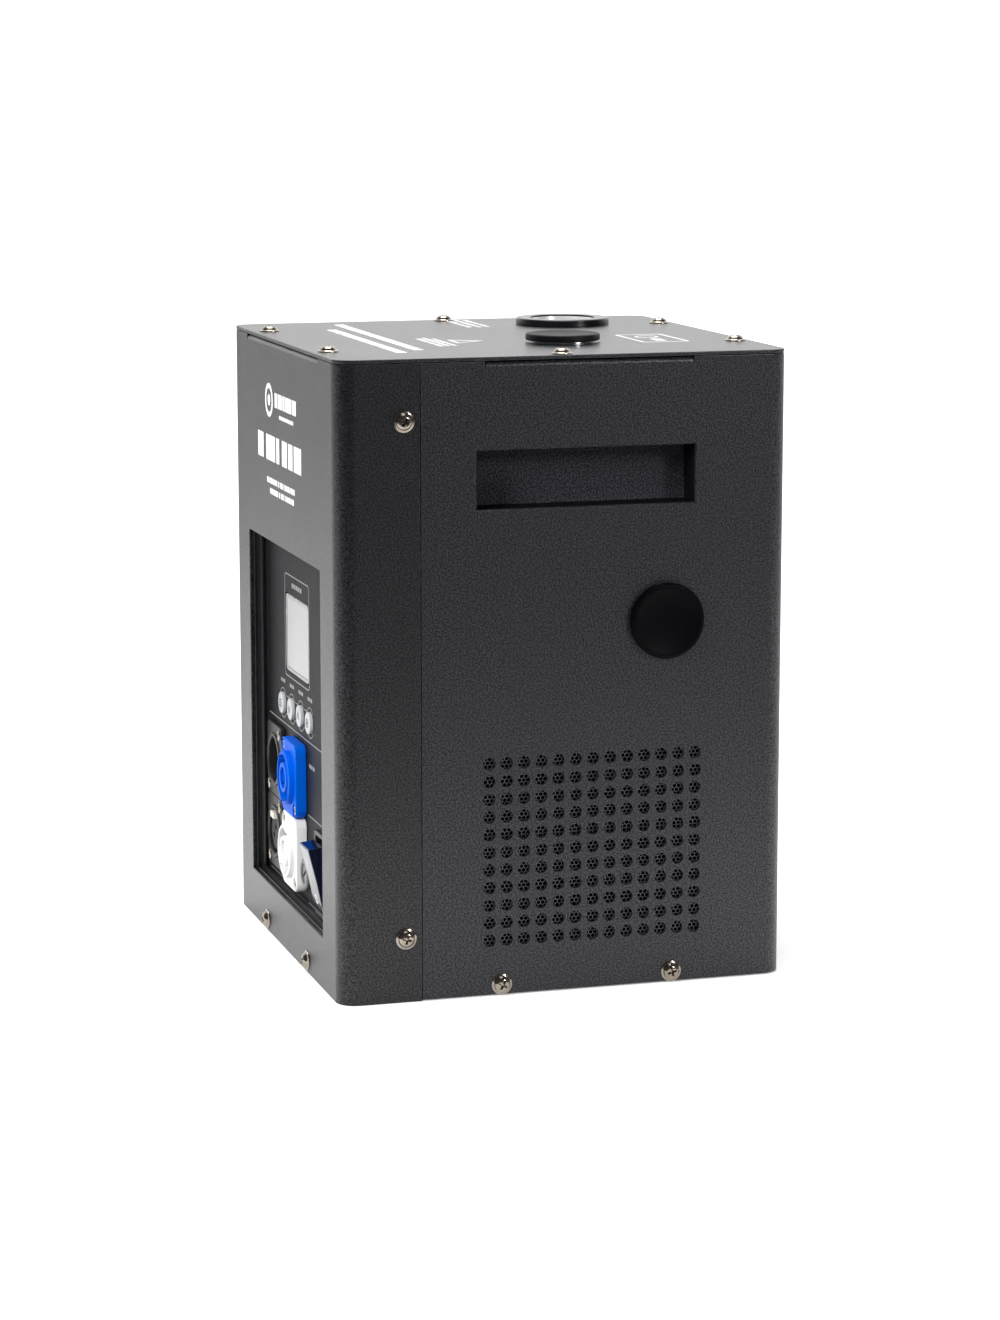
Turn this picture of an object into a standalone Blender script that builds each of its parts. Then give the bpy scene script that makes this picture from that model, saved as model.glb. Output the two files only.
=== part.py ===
"""Stage spark fountain: sheet-metal cabinet with a nozzle, a granule feeder and a recessed panel.

Lengths below are millimetres and are scaled to metres when a mesh is made.
Origin: centre of the footprint, on the floor. The control panel faces -Y, +Z is up.
"""
import math

import bmesh
import bpy
from mathutils import Matrix, Vector

MM = 0.001

# Cabinet
WIDTH = 184.0
DEPTH = 185.0
HEIGHT = 254.0
SHEET = 1.5
CORNER = 8.0
GAP = 0.2
HALF_X = WIDTH / 2
HALF_Y = DEPTH / 2
SEAM_Y = -59.2
WALL_TOP = HEIGHT - SHEET - GAP

# Tabs folded in under the top plate
FRONT_TAB = 63.0
SIDE_TAB = (-33.0, 52.3)
TAB_DEPTH = 14.0

# Handle pockets
POCKET_Y = (-36.3, 53.4)
POCKET_Z = (194.5, 217.7)
POCKET_DEPTH = 14.0
CUP_WALL = 1.2

# Ventilation holes
VENT_COLUMNS = 13
VENT_ROWS = 11
VENT_PITCH = 7.13
VENT_FIRST_Y = -31.5
VENT_LAST_Z = 22.5
VENT_RADIUS = 2.55
VENT_SIDES = 6

# Blanking plug in the right wall
PLUG_Y = 41.5
PLUG_Z = 147.8
PLUG_RADIUS = 15.3
PLUG_PROUD = 3.4
PLUG_STEM = 12.8

# Control panel
WINDOW_X = 63.6
WINDOW_Z = (21.1, 169.2)
PANEL_Y = -85.0
PANEL_SHEET = 1.5
LCD_X = -8.5
LCD_Z = 130.4
LCD_SIZE = (41.0, 33.0)
KEY_X = -10.7
KEY_Z = 98.7
KEY_PITCH = 16.1
KEY_RADIUS = 4.6
KEY_PROUD = 1.4
SOCKET_Z = (72.5, 41.3)
DMX_X = -44.0
POWER_X = -6.0
FLANGE_SIZE = (26.0, 31.0)
POWER_FLANGE = 4.9
DMX_FLANGE = 2.2
FUSE_X = 20.5
FUSE_Z = 37.5
FUSE_RADIUS = 7.3
SWITCH_X = 39.5
SWITCH_Z = 40.5
SWITCH_TILT = 13.0

# Top fittings
NOZZLE_X = -54.6
NOZZLE_Y = 44.1
NOZZLE_RADIUS = 20.1
NOZZLE_HEIGHT = 3.0
FEEDER_X = 36.4
FEEDER_Y = 15.7
FEEDER_RADIUS = 15.2

# Works
TUBE_RADIUS = 11.0
AUGER_Z = 165.0
AUGER_RADIUS = 6.8
AUGER_PITCH = 17.0
BLOWER_X = -30.0
BLOWER_Z = 48.0
BLOWER_RADIUS = 32.0
BLOWER_Y = (30.0, 58.0)
FAN_X = -80.4
FAN_Y = 11.3
FAN_Z = 58.1
FAN_SIZE = 80.0

# Screws: cross-recessed pan heads on a washer flange
SCREW_WASHER = 4.3
SCREW_DOME = 3.1
SCREW_SHANK = 1.45
SCREW_LENGTH = 6.0
SCREW_HOLE = 1.8

POWDER_BLACK = (0.032, 0.034, 0.038)
PANEL_GREY = (0.035, 0.037, 0.042)
NICKEL = (0.60, 0.56, 0.50)
SATIN_BLACK = (0.012, 0.012, 0.013)


# ---------------------------------------------------------------- shapes

def at(x=0.0, y=0.0, z=0.0):
    return Matrix.Translation((x, y, z))


def turn(degrees, axis):
    return Matrix.Rotation(math.radians(degrees), 4, axis)


TO_RIGHT = turn(90, "Y")
TO_LEFT = turn(-90, "Y")
TO_FRONT = turn(90, "X")


def moved(shape, matrix):
    verts, faces = shape
    return [matrix @ Vector(v) for v in verts], faces


def joined(*shapes):
    verts = []
    faces = []
    for part_verts, part_faces in shapes:
        start = len(verts)
        verts.extend(part_verts)
        faces.extend([start + i for i in face] for face in part_faces)
    return verts, faces


def prism(outline, low, high):
    """Extrude an outline in the XY plane from low to high."""
    n = len(outline)
    verts = [(x, y, low) for x, y in outline] + [(x, y, high) for x, y in outline]
    faces = [[n - 1 - i for i in range(n)], [n + i for i in range(n)]]
    faces += [[i, (i + 1) % n, n + (i + 1) % n, n + i] for i in range(n)]
    return verts, faces


def box(x0, x1, y0, y1, z0, z1):
    return prism([(x0, y0), (x1, y0), (x1, y1), (x0, y1)], z0, z1)


def circle(radius, sides, x=0.0, y=0.0):
    step = 2 * math.pi / sides
    return [(x + radius * math.cos((i + 0.5) * step), y + radius * math.sin((i + 0.5) * step))
            for i in range(sides)]


def cylinder(radius, low, high, sides=24):
    return prism(circle(radius, sides), low, high)


def arc(x, y, radius, start, end, steps):
    angles = [math.radians(start + (end - start) * i / steps) for i in range(steps + 1)]
    return [(x + radius * math.cos(a), y + radius * math.sin(a)) for a in angles]


def rounded(x0, x1, y0, y1, radius, steps=4):
    outline = arc(x1 - radius, y1 - radius, radius, 0, 90, steps)
    outline += arc(x0 + radius, y1 - radius, radius, 90, 180, steps)
    outline += arc(x0 + radius, y0 + radius, radius, 180, 270, steps)
    outline += arc(x1 - radius, y0 + radius, radius, 270, 360, steps)
    return outline


def lathe(profile, sides=24):
    """Revolve (radius, height) points about Z. Points on the axis close the ends."""
    verts = []
    rings = []
    for radius, height in profile:
        if radius == 0.0:
            rings.append([len(verts)])
            verts.append((0.0, 0.0, height))
        else:
            rings.append(list(range(len(verts), len(verts) + sides)))
            verts.extend((x, y, height) for x, y in circle(radius, sides))
    faces = []
    closed = len(rings[0]) > 1
    pairs = list(zip(rings, rings[1:]))
    if closed:
        pairs.append((rings[-1], rings[0]))
    for low, high in pairs:
        for i in range(sides):
            j = (i + 1) % sides
            if len(low) == 1:
                faces.append([low[0], high[j], high[i]])
            elif len(high) == 1:
                faces.append([low[i], low[j], high[0]])
            else:
                faces.append([low[i], low[j], high[j], high[i]])
    return verts, faces


def tube(outer, inner, low, high, sides=24):
    return lathe([(inner, low), (outer, low), (outer, high), (inner, high)], sides)


def swept(path, ring):
    """Carry a closed ring of local (normal, binormal) points along a path of frames."""
    verts = []
    faces = []
    n = len(ring)
    for place in path:
        verts.extend(place @ Vector((a, b, 0.0)) for a, b in ring)
    for k in range(len(path) - 1):
        for i in range(n):
            j = (i + 1) % n
            faces.append([k * n + i, k * n + j, (k + 1) * n + j, (k + 1) * n + i])
    last = (len(path) - 1) * n
    faces.append([n - 1 - i for i in range(n)])
    faces.append([last + i for i in range(n)])
    return verts, faces


# ---------------------------------------------------------------- objects

def mesh_from(name, shape):
    verts, faces = shape
    mesh = bpy.data.meshes.new(name)
    mesh.from_pydata([tuple(Vector(v) * MM) for v in verts], [], faces)
    work = bmesh.new()
    work.from_mesh(mesh)
    bmesh.ops.remove_doubles(work, verts=work.verts, dist=1e-7)
    bmesh.ops.recalc_face_normals(work, faces=work.faces)
    work.to_mesh(mesh)
    work.free()
    return mesh


def holder(name, shape):
    obj = bpy.data.objects.new(name, mesh_from(name, shape))
    bpy.context.scene.collection.objects.link(obj)
    return obj


def combine(target, shape, operation):
    other = holder("tool", shape)
    modifier = target.modifiers.new("combine", "BOOLEAN")
    modifier.operation = operation
    modifier.solver = "EXACT"
    modifier.object = other
    bpy.context.view_layer.update()
    evaluated = target.evaluated_get(bpy.context.evaluated_depsgraph_get())
    result = bpy.data.meshes.new_from_object(evaluated)
    target.modifiers.clear()
    target.data = result
    bpy.data.objects.remove(other)


def material(name, colour, metallic, roughness):
    made = bpy.data.materials.new(name)
    made.use_nodes = True
    shader = made.node_tree.nodes["Principled BSDF"]
    shader.inputs["Base Color"].default_value = (*colour, 1.0)
    shader.inputs["Metallic"].default_value = metallic
    shader.inputs["Roughness"].default_value = roughness
    made.diffuse_color = (*colour, 1.0)
    return made


def piece(name, shape, look, add=(), cut=(), origin=(0.0, 0.0, 0.0)):
    """Make one solid: the shape, plus the added shapes, minus the cut shapes."""
    obj = holder(name, shape)
    for extra in add:
        combine(obj, extra, "UNION")
    for hole in cut:
        combine(obj, hole, "DIFFERENCE")
    work = bmesh.new()
    work.from_mesh(obj.data)
    bmesh.ops.remove_doubles(work, verts=work.verts, dist=1e-7)
    bmesh.ops.dissolve_degenerate(work, edges=work.edges, dist=1e-7)
    shift = Vector(origin) * MM
    bmesh.ops.translate(work, verts=work.verts, vec=-shift)
    work.to_mesh(obj.data)
    work.free()
    obj.location = shift
    obj.data.name = name
    obj.data.materials.clear()
    obj.data.materials.append(material(name, *look))
    return obj


# ---------------------------------------------------------------- screw places

def screw_places():
    """Name and placement of every cabinet screw; local +Z points out of the sheet."""
    places = {}
    for name, x, y in (("front_left", -51.7, -85.5), ("front_right", 51.7, -85.5),
                       ("mid_left", -86.0, -0.2), ("mid_right", 86.0, -0.2),
                       ("rear_left", -47.5, 85.7), ("rear_right", 47.5, 85.7)):
        places["screw_top_" + name] = at(x, y, HEIGHT)
    for side, x, out in (("right", HALF_X, TO_RIGHT), ("left", -HALF_X, TO_LEFT)):
        places["screw_" + side + "_upper"] = at(x, -65.7, 229.9) @ out
        places["screw_" + side + "_lower"] = at(x, -65.7, 25.8) @ out
        places["screw_" + side + "_base_front"] = at(x, -26.5, 4.5) @ out
        places["screw_" + side + "_base_rear"] = at(x, 44.5, 4.5) @ out
    places["screw_front_left"] = at(-36.1, -HALF_Y, 5.0) @ TO_FRONT
    places["screw_front_right"] = at(36.1, -HALF_Y, 5.0) @ TO_FRONT
    return places


SCREWS = screw_places()


def holes_for(*starts):
    shapes = [moved(cylinder(SCREW_HOLE, -5.0, 1.0, 8), place)
              for name, place in SCREWS.items() if name.startswith(starts)]
    return joined(*shapes)


# ---------------------------------------------------------------- cabinet

def edge_break(x0, x1, y0, y1, leg):
    """Wedge that breaks a folded top edge; runs along X on the front, long in the first pair."""
    profile = [(y0, WALL_TOP - leg), (y0, WALL_TOP + 1), (y1, WALL_TOP + 1), (y1, WALL_TOP)]
    verts, faces = prism(profile, x0, x1)
    return [(z, x, y) for x, y, z in verts], faces


def build_front_shell():
    back = SEAM_Y
    outer = [(HALF_X, back)] + arc(HALF_X - CORNER, CORNER - HALF_Y, CORNER, 0, -90, 5)
    outer += [(-x, y) for x, y in reversed(outer)]
    inset = CORNER - SHEET
    inner = [(HALF_X - SHEET, back)]
    inner += arc(HALF_X - CORNER, CORNER - HALF_Y, inset, 0, -90, 5)
    inner += [(-x, y) for x, y in reversed(inner)]
    wall = prism(outer + inner[::-1], 0.0, WALL_TOP)
    tab = box(-FRONT_TAB, FRONT_TAB, -HALF_Y + 0.5, TAB_DEPTH - HALF_Y, WALL_TOP - SHEET, WALL_TOP)
    window = box(-WINDOW_X, WINDOW_X, -HALF_Y - 5, -HALF_Y + 5, *WINDOW_Z)
    fold = edge_break(-FRONT_TAB, FRONT_TAB, -HALF_Y - 1, -HALF_Y + 1.2, 2.2)
    holes = holes_for("screw_top_front", "screw_right_upper", "screw_right_lower",
                      "screw_left_upper", "screw_left_lower", "screw_front")
    piece("front_shell", wall, (POWDER_BLACK, 0.0, 0.5), add=[tab], cut=[window, fold, holes])


def build_rear_shell():
    start = SEAM_Y + 0.3
    outer = [(HALF_X, start)] + arc(HALF_X - CORNER, HALF_Y - CORNER, CORNER, 0, 90, 5)
    outer += [(-x, y) for x, y in reversed(outer)]
    inner = [(HALF_X - SHEET, start)]
    inner += arc(HALF_X - CORNER, HALF_Y - CORNER, CORNER - SHEET, 0, 90, 5)
    inner += [(-x, y) for x, y in reversed(inner)]
    wall = prism(outer + inner[::-1], 0.4, WALL_TOP)
    add = []
    vents = []
    for side in (1, -1):
        x0, x1 = sorted((side * (HALF_X - 3.3), side * (HALF_X - 1.8)))
        lap = box(x0, x1, SEAM_Y - 14, start + 3.0, 12.0, 248.0)
        x0, x1 = sorted((side * (HALF_X - 3.3), side * (HALF_X - 0.8)))
        step = box(x0, x1, start + 0.0005, start + 3.0, 12.0, 248.0)
        x0, x1 = sorted((side * (HALF_X - TAB_DEPTH), side * (HALF_X - 0.5)))
        tab = box(x0, x1, *SIDE_TAB, WALL_TOP - SHEET, WALL_TOP)
        add += [lap, step, tab]
        for row in range(VENT_ROWS):
            for column in range(VENT_COLUMNS):
                y = VENT_FIRST_Y + column * VENT_PITCH
                z = VENT_LAST_Z + row * VENT_PITCH
                bar = cylinder(VENT_RADIUS, -4.0, 4.0, VENT_SIDES)
                vents.append(moved(bar, at(side * HALF_X, y, z) @ TO_RIGHT))
    y0, y1 = HALF_Y - TAB_DEPTH, HALF_Y - 0.5
    add.append(box(-FRONT_TAB, FRONT_TAB, y0, y1, WALL_TOP - SHEET, WALL_TOP))
    pockets = box(-HALF_X - 5, HALF_X + 5, *POCKET_Y, *POCKET_Z)
    bore = moved(cylinder(PLUG_STEM + 0.3, -5, 5, 32), at(HALF_X, PLUG_Y, PLUG_Z) @ TO_RIGHT)
    fold = edge_break(*SIDE_TAB, -HALF_X - 1, -HALF_X + 1.2, 2.2)
    folds = [moved(fold, turn(90, "Z")), moved(fold, turn(90, "Z") @ turn(180, "Z"))]
    folds[1] = ([(-x, y, z) for x, y, z in folds[0][0]], folds[0][1])
    back = edge_break(-FRONT_TAB, FRONT_TAB, -HALF_Y - 1, -HALF_Y + 1.2, 2.2)
    folds.append(moved(back, turn(180, "Z")))
    holes = holes_for("screw_top_mid", "screw_top_rear", "screw_right", "screw_left")
    piece("rear_shell", wall, (POWDER_BLACK, 0.0, 0.5), add=add,
          cut=[joined(pockets, bore, *folds), joined(*vents), holes])


def build_top_plate():
    plate = prism(rounded(-HALF_X, HALF_X, -HALF_Y, HALF_Y, CORNER), HEIGHT - SHEET, HEIGHT)
    nozzle = prism(circle(17.6, 32, NOZZLE_X, NOZZLE_Y), HEIGHT - 5, HEIGHT + 5)
    feeder = prism(circle(13.3, 24, FEEDER_X, FEEDER_Y), HEIGHT - 5, HEIGHT + 5)
    piece("top_plate", plate, (POWDER_BLACK, 0.0, 0.5),
          cut=[joined(nozzle, feeder, holes_for("screw_top"))])


def build_base_plate():
    inset = SHEET + GAP
    x, y = HALF_X - inset, HALF_Y - inset
    floor = prism(rounded(-x, x, -y, y, CORNER - inset, 3), 0.0, SHEET)
    add = []
    for side in (1, -1):
        x0, x1 = sorted((side * x, side * (x - SHEET)))
        add.append(box(x0, x1, -78.0, 78.0, 0.5, 11.0))
        y0, y1 = sorted((side * y, side * (y - SHEET)))
        add.append(box(-78.0, 78.0, y0, y1, 0.5, 11.0))
    holes = holes_for("screw_right_base", "screw_left_base", "screw_front")
    piece("base_plate", floor, (POWDER_BLACK, 0.0, 0.5), add=add, cut=[holes])


def build_handle_cup(name, side):
    mouth = HALF_X - SHEET - GAP
    back = HALF_X - POCKET_DEPTH - CUP_WALL
    y0, y1 = POCKET_Y[0] - CUP_WALL, POCKET_Y[1] + CUP_WALL
    z0, z1 = POCKET_Z[0] - CUP_WALL, POCKET_Z[1] + CUP_WALL
    body = box(back, mouth, y0, y1, z0, z1)
    lip = box(mouth - CUP_WALL, mouth, y0 - 4, y1 + 4, z0 - 4, z1 + 4)
    hollow = box(HALF_X - POCKET_DEPTH, mouth + 5, *POCKET_Y, *POCKET_Z)
    mirror = Matrix.Scale(side, 4, (1, 0, 0))
    piece(name, moved(body, mirror), (POWDER_BLACK, 0.0, 0.5),
          add=[moved(lip, mirror)], cut=[moved(hollow, mirror)])


def build_side_fittings():
    r = PLUG_RADIUS
    profile = [(0, -5.5), (PLUG_STEM - 1, -5.5), (PLUG_STEM, -4.5), (PLUG_STEM, 0.1), (r, 0.1),
               (r, PLUG_PROUD - 1.2), (r - 0.4, PLUG_PROUD - 0.3), (r - 1.3, PLUG_PROUD),
               (r - 2.6, PLUG_PROUD - 0.2), (r - 4.5, PLUG_PROUD - 0.9), (0, PLUG_PROUD - 1.1)]
    place = at(HALF_X, PLUG_Y, PLUG_Z)
    piece("side_plug", moved(lathe(profile, 24), place @ TO_RIGHT), (SATIN_BLACK, 0.0, 0.45),
          origin=place.translation)
    for name, side in (("dust_mesh_right", 1), ("dust_mesh_left", -1)):
        x0, x1 = sorted((side * (HALF_X - 2.6), side * (HALF_X - 1.8)))
        sheet = box(x0, x1, VENT_FIRST_Y - 6, VENT_FIRST_Y + 12 * VENT_PITCH + 6,
                    VENT_LAST_Z - 6, VENT_LAST_Z + 10 * VENT_PITCH + 6)
        piece(name, sheet, ((0.02, 0.02, 0.022), 0.3, 0.5))


def build_screws():
    w, d = SCREW_WASHER, SCREW_DOME
    profile = [(0, -SCREW_LENGTH), (SCREW_SHANK, -SCREW_LENGTH), (SCREW_SHANK, 0.05), (w, 0.05),
               (w, 0.6), (d, 1.1), (d - 0.7, 2.2), (0, 2.55)]
    a, b = 1.7, 0.4
    plus = [(a, -b), (a, b), (b, b), (b, a), (-b, a), (-b, b), (-a, b), (-a, -b), (-b, -b),
            (-b, -a), (b, -a), (b, -b)]
    for name, place in SCREWS.items():
        inner = place @ turn(20, "Z")
        piece(name, moved(lathe(profile, 10), inner), (NICKEL, 1.0, 0.3),
              cut=[moved(prism(plus, 1.3, 4.0), inner)])


# ---------------------------------------------------------------- control panel

def facing(x, z, y=PANEL_Y):
    """Placement on the panel: local +Z points out of the panel, to the front."""
    return at(x, y, z) @ TO_FRONT


def key_places():
    return [KEY_X + (i - 1.5) * KEY_PITCH for i in range(4)]


def build_control_panel():
    back = PANEL_Y + PANEL_SHEET
    front = -HALF_Y + SHEET + GAP
    x, wall = WINDOW_X + 0.3, CUP_WALL
    z0, z1 = WINDOW_Z[0] - 0.3, WINDOW_Z[1] + 0.3
    pan = box(-x - wall, x + wall, front, back, z0 - wall, z1 + wall)
    lip = box(-x - 6, x + 6, front, front + wall, z0 - 6, z1 + 6)
    hollow = box(-x, x, front - 5, PANEL_Y, z0, z1)
    holes = [box(LCD_X - LCD_SIZE[0] / 2, LCD_X + LCD_SIZE[0] / 2, PANEL_Y - 1, back + 1,
                 LCD_Z - LCD_SIZE[1] / 2, LCD_Z + LCD_SIZE[1] / 2),
             box(SWITCH_X - 8.9, SWITCH_X + 8.9, PANEL_Y - 1, back + 1,
                 SWITCH_Z - 16.4, SWITCH_Z + 16.4),
             moved(cylinder(5.9, -4, 1, 16), facing(FUSE_X, FUSE_Z))]
    holes += [moved(cylinder(KEY_RADIUS + 0.3, -4, 1, 12), facing(kx, KEY_Z))
              for kx in key_places()]
    holes += [moved(cylinder(12.2, -4, 1, 20), facing(sx, sz))
              for sx in (DMX_X, POWER_X) for sz in SOCKET_Z]
    piece("control_panel", pan, (PANEL_GREY, 0.0, 0.45), add=[lip], cut=[hollow, joined(*holes)])


def build_display():
    w, h = LCD_SIZE
    pane = box(LCD_X - w / 2 + 0.3, LCD_X + w / 2 - 0.3, PANEL_Y + 0.2, PANEL_Y + 1.4,
               LCD_Z - h / 2 + 0.3, LCD_Z + h / 2 - 0.3)
    piece("display_window", pane, ((0.62, 0.64, 0.66), 0.0, 0.12))
    y = PANEL_Y + PANEL_SHEET + GAP
    board = box(LCD_X - 33, LCD_X + 33, y + 5, y + 6.6, LCD_Z - 24, LCD_Z + 20)
    cell = box(LCD_X - w / 2 - 2, LCD_X + w / 2 + 2, y, y + 5.2, LCD_Z - h / 2 - 2, LCD_Z + 18.5)
    piece("display_module", board, ((0.02, 0.16, 0.07), 0.0, 0.5), add=[cell])
    r = KEY_RADIUS
    profile = [(0, -3.2), (r + 0.9, -3.2), (r + 0.9, -1.9), (r, -1.9), (r, KEY_PROUD - 0.4),
               (r - 0.5, KEY_PROUD), (0, KEY_PROUD)]
    for name, x in zip(("key_menu", "key_down", "key_up", "key_enter"), key_places()):
        place = facing(x, KEY_Z)
        piece(name, moved(lathe(profile, 16), place), ((0.16, 0.165, 0.17), 0.0, 0.4),
              origin=place.translation)


def flange_outline():
    w, h = FLANGE_SIZE
    return rounded(-w / 2, w / 2, -h / 2, h / 2, 4.0, 3)


def build_power_socket(name, z, colour, key_angle):
    place = facing(POWER_X, z)
    flange = prism(flange_outline(), 0.1, POWER_FLANGE)
    boss = cylinder(11.3, -20.0, POWER_FLANGE + 2.5, 24)
    well = tube(9.6, 6.6, -9.0, POWER_FLANGE + 4, 20)
    bore = cylinder(1.7, -4.0, POWER_FLANGE + 4, 10)
    keys = [box(-1.5, 1.5, 9.0, 10.6, -3.0, POWER_FLANGE + 4),
            box(-1.2, 1.2, -10.6, -9.0, -3.0, POWER_FLANGE + 4)]
    keys = [moved(k, turn(key_angle, "Z")) for k in keys]
    piece(name, moved(flange, place), (colour, 0.0, 0.35), add=[moved(boss, place)],
          cut=[moved(joined(well, bore), place), moved(joined(*keys), place)])


def build_dmx_sockets():
    metal = ((0.02, 0.02, 0.022), 0.6, 0.35)
    dark = ((0.01, 0.01, 0.011), 0.0, 0.5)
    place = facing(DMX_X, SOCKET_Z[0])
    flange = prism(flange_outline(), 0.1, DMX_FLANGE)
    barrel = cylinder(11.6, -19.0, DMX_FLANGE + 0.6, 20)
    well = cylinder(9.6, -14.0, 9.0, 20)
    floor_bore = cylinder(8.6, -25.0, 0.0, 20)
    piece("dmx_in_shell", moved(flange, place), metal, add=[moved(barrel, place)],
          cut=[moved(well, place), moved(floor_bore, place)])
    pins = [moved(cylinder(1.2, -15.0, -2.0, 8), at(4.4 * math.cos(a), 4.4 * math.sin(a), 0))
            for a in (math.radians(d) for d in (30, 150, 270))]
    disc = moved(cylinder(8.3, -18.6, -14.4, 20), place)
    piece("dmx_in_pins", disc, ((0.55, 0.42, 0.2), 1.0, 0.3),
          add=[moved(joined(*pins), place)])

    place = facing(DMX_X, SOCKET_Z[1])
    slot = box(-3.4, 3.4, 5.4, 10.0, -16.0, 9.0)
    piece("dmx_out_shell", moved(flange, place), metal, add=[moved(barrel, place)],
          cut=[moved(well, place), moved(floor_bore, place)])
    core = cylinder(8.2, -18.6, DMX_FLANGE - 0.4, 20)
    bores = [moved(cylinder(1.4, -10.0, 5.0, 8), at(x, y, 0))
             for x, y in ((-3.8, -2.2), (3.8, -2.2), (0.0, 1.6))]
    piece("dmx_out_core", moved(core, place), dark,
          cut=[moved(slot, place), moved(joined(*bores), place)])
    tongue = box(-2.9, 2.9, 5.9, 8.6, -12.3, DMX_FLANGE + 1.4)
    piece("dmx_out_latch", moved(tongue, place), ((0.78, 0.75, 0.66), 0.1, 0.35),
          origin=(place @ at(0, 7.2, 0)).translation)


def build_fuse():
    place = facing(FUSE_X, FUSE_Z)
    body = [(4.1, -26.0), (5.6, -26.0), (5.6, 0.1), (6.9, 0.1), (6.9, 1.4), (4.1, 1.4)]
    piece("fuse_holder", moved(lathe(body, 20), place), (SATIN_BLACK, 0.0, 0.4))
    r = FUSE_RADIUS - 0.6
    cap = [(0, -5.0), (3.7, -5.0), (3.7, 1.6), (r, 1.6), (r, 4.2), (r - 0.7, 5.0), (0, 5.0)]
    slot = box(-4.0, 4.0, -0.6, 0.6, 4.0, 7.0)
    piece("fuse_cap", moved(lathe(cap, 20), place), ((0.03, 0.03, 0.032), 0.0, 0.35),
          cut=[moved(slot, place @ turn(35, "Z"))], origin=place.translation)


def build_switch():
    place = facing(SWITCH_X, SWITCH_Z)
    bezel = prism(rounded(-10.0, 10.0, -17.6, 17.6, 1.5, 2), 0.1, 2.6)
    body = box(-8.6, 8.6, -16.2, 16.2, -18.0, 0.5)
    well = box(-7.9, 7.9, -15.5, 15.5, -6.5, 9.0)
    piece("switch_body", moved(bezel, place), (SATIN_BLACK, 0.0, 0.3),
          add=[moved(body, place)], cut=[moved(well, place)])
    pivot = place @ at(0, 0, 1.0)
    tilt = math.radians(SWITCH_TILT)
    lean = [(-14.4, 5.0), (-13.6, 5.4), (0.0, 4.8), (13.6, 5.4), (14.4, 5.0), (13.8, -1.5),
            (4.0, -5.0), (-4.0, -5.0), (-13.8, -1.5)]
    verts, faces = prism(lean, -7.6, 7.6)
    rocker = [(z, x, y) for x, y, z in verts], faces
    piece("switch_rocker", moved(rocker, pivot @ Matrix.Rotation(tilt, 4, "X")),
          ((0.014, 0.014, 0.016), 0.0, 0.18), origin=pivot.translation)


# ---------------------------------------------------------------- top fittings

def build_nozzle():
    place = at(NOZZLE_X, NOZZLE_Y, HEIGHT)
    r = NOZZLE_RADIUS
    ring = [(13.7, -2.6), (17.2, -2.6), (17.2, 0.1), (r, 0.1), (r, NOZZLE_HEIGHT - 0.5),
            (r - 0.5, NOZZLE_HEIGHT), (14.0, NOZZLE_HEIGHT), (13.7, NOZZLE_HEIGHT - 0.3)]
    piece("nozzle_collar", moved(lathe(ring, 32), place), (SATIN_BLACK, 0.2, 0.35))
    dish = [(13.4, 2.2), (13.4, -7.5), (12.2, -7.5), (6.6, -11.0), (6.6, -20.0), (5.6, -20.0),
            (5.6, -10.5), (12.4, -1.0), (12.9, 2.2)]
    piece("nozzle_dish", moved(lathe(dish, 24), place), ((0.82, 0.83, 0.84), 1.0, 0.16))
    stack = at(NOZZLE_X, NOZZLE_Y, 0)
    top = HEIGHT - 12.5
    pipe = [(9.4, 104.0), (TUBE_RADIUS, 104.0), (TUBE_RADIUS, top), (9.4, top)]
    port = moved(cylinder(6.9, 0, 20, 16), at(NOZZLE_X, NOZZLE_Y, AUGER_Z) @ auger_turn(180))
    piece("spark_tube", moved(lathe(pipe, 24), stack), ((0.45, 0.44, 0.42), 1.0, 0.4),
          cut=[port])
    turns, steps = 5, 12
    path = []
    for i in range(turns * steps + 1):
        angle = 360.0 * i / steps
        path.append(stack @ at(0, 0, 112.0 + 5.6 * i / steps) @ turn(angle, "Z")
                    @ at(15.2, 0, 0) @ turn(90, "X"))
    piece("heater_coil", swept(path, circle(1.9, 5)), ((0.72, 0.36, 0.18), 1.0, 0.3))


def build_feeder():
    place = at(FEEDER_X, FEEDER_Y, HEIGHT)
    r = FEEDER_RADIUS
    neck = [(11.6, -9.0), (12.9, -9.0), (12.9, 0.1), (r + 0.1, 0.1), (r + 0.1, 1.2),
            (11.6, 1.2)]
    piece("feeder_neck", moved(lathe(neck, 24), place), ((0.7, 0.7, 0.7), 1.0, 0.25))
    cap = [(0, 1.4), (9.9, 1.4), (9.9, -3.5), (11.3, -3.5), (11.3, 1.3), (r, 1.3),
           (r, 3.2), (r - 0.5, 3.8), (r - 1.6, 3.9), (0, 3.6)]
    piece("feeder_cap", moved(lathe(cap, 24), place), (SATIN_BLACK, 0.0, 0.5),
          origin=place.translation)
    bowl = [(13.2, -2.0), (25.0, -2.0), (25.0, -40.0), (8.6, -74.0), (8.6, -79.6), (7.2, -79.6),
            (7.2, -73.4), (23.6, -39.4), (23.6, -3.4), (13.2, -3.4)]
    piece("hopper", moved(lathe(bowl, 20), place), ((0.55, 0.56, 0.57), 1.0, 0.35))


# ---------------------------------------------------------------- works

def auger_turn(extra=0.0):
    """Turn local +Z to run level from the nozzle side towards the feeder, or back."""
    heading = math.degrees(math.atan2(FEEDER_Y - NOZZLE_Y, FEEDER_X - NOZZLE_X))
    return turn(heading + 180.0 + extra, "Z") @ TO_RIGHT


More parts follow.
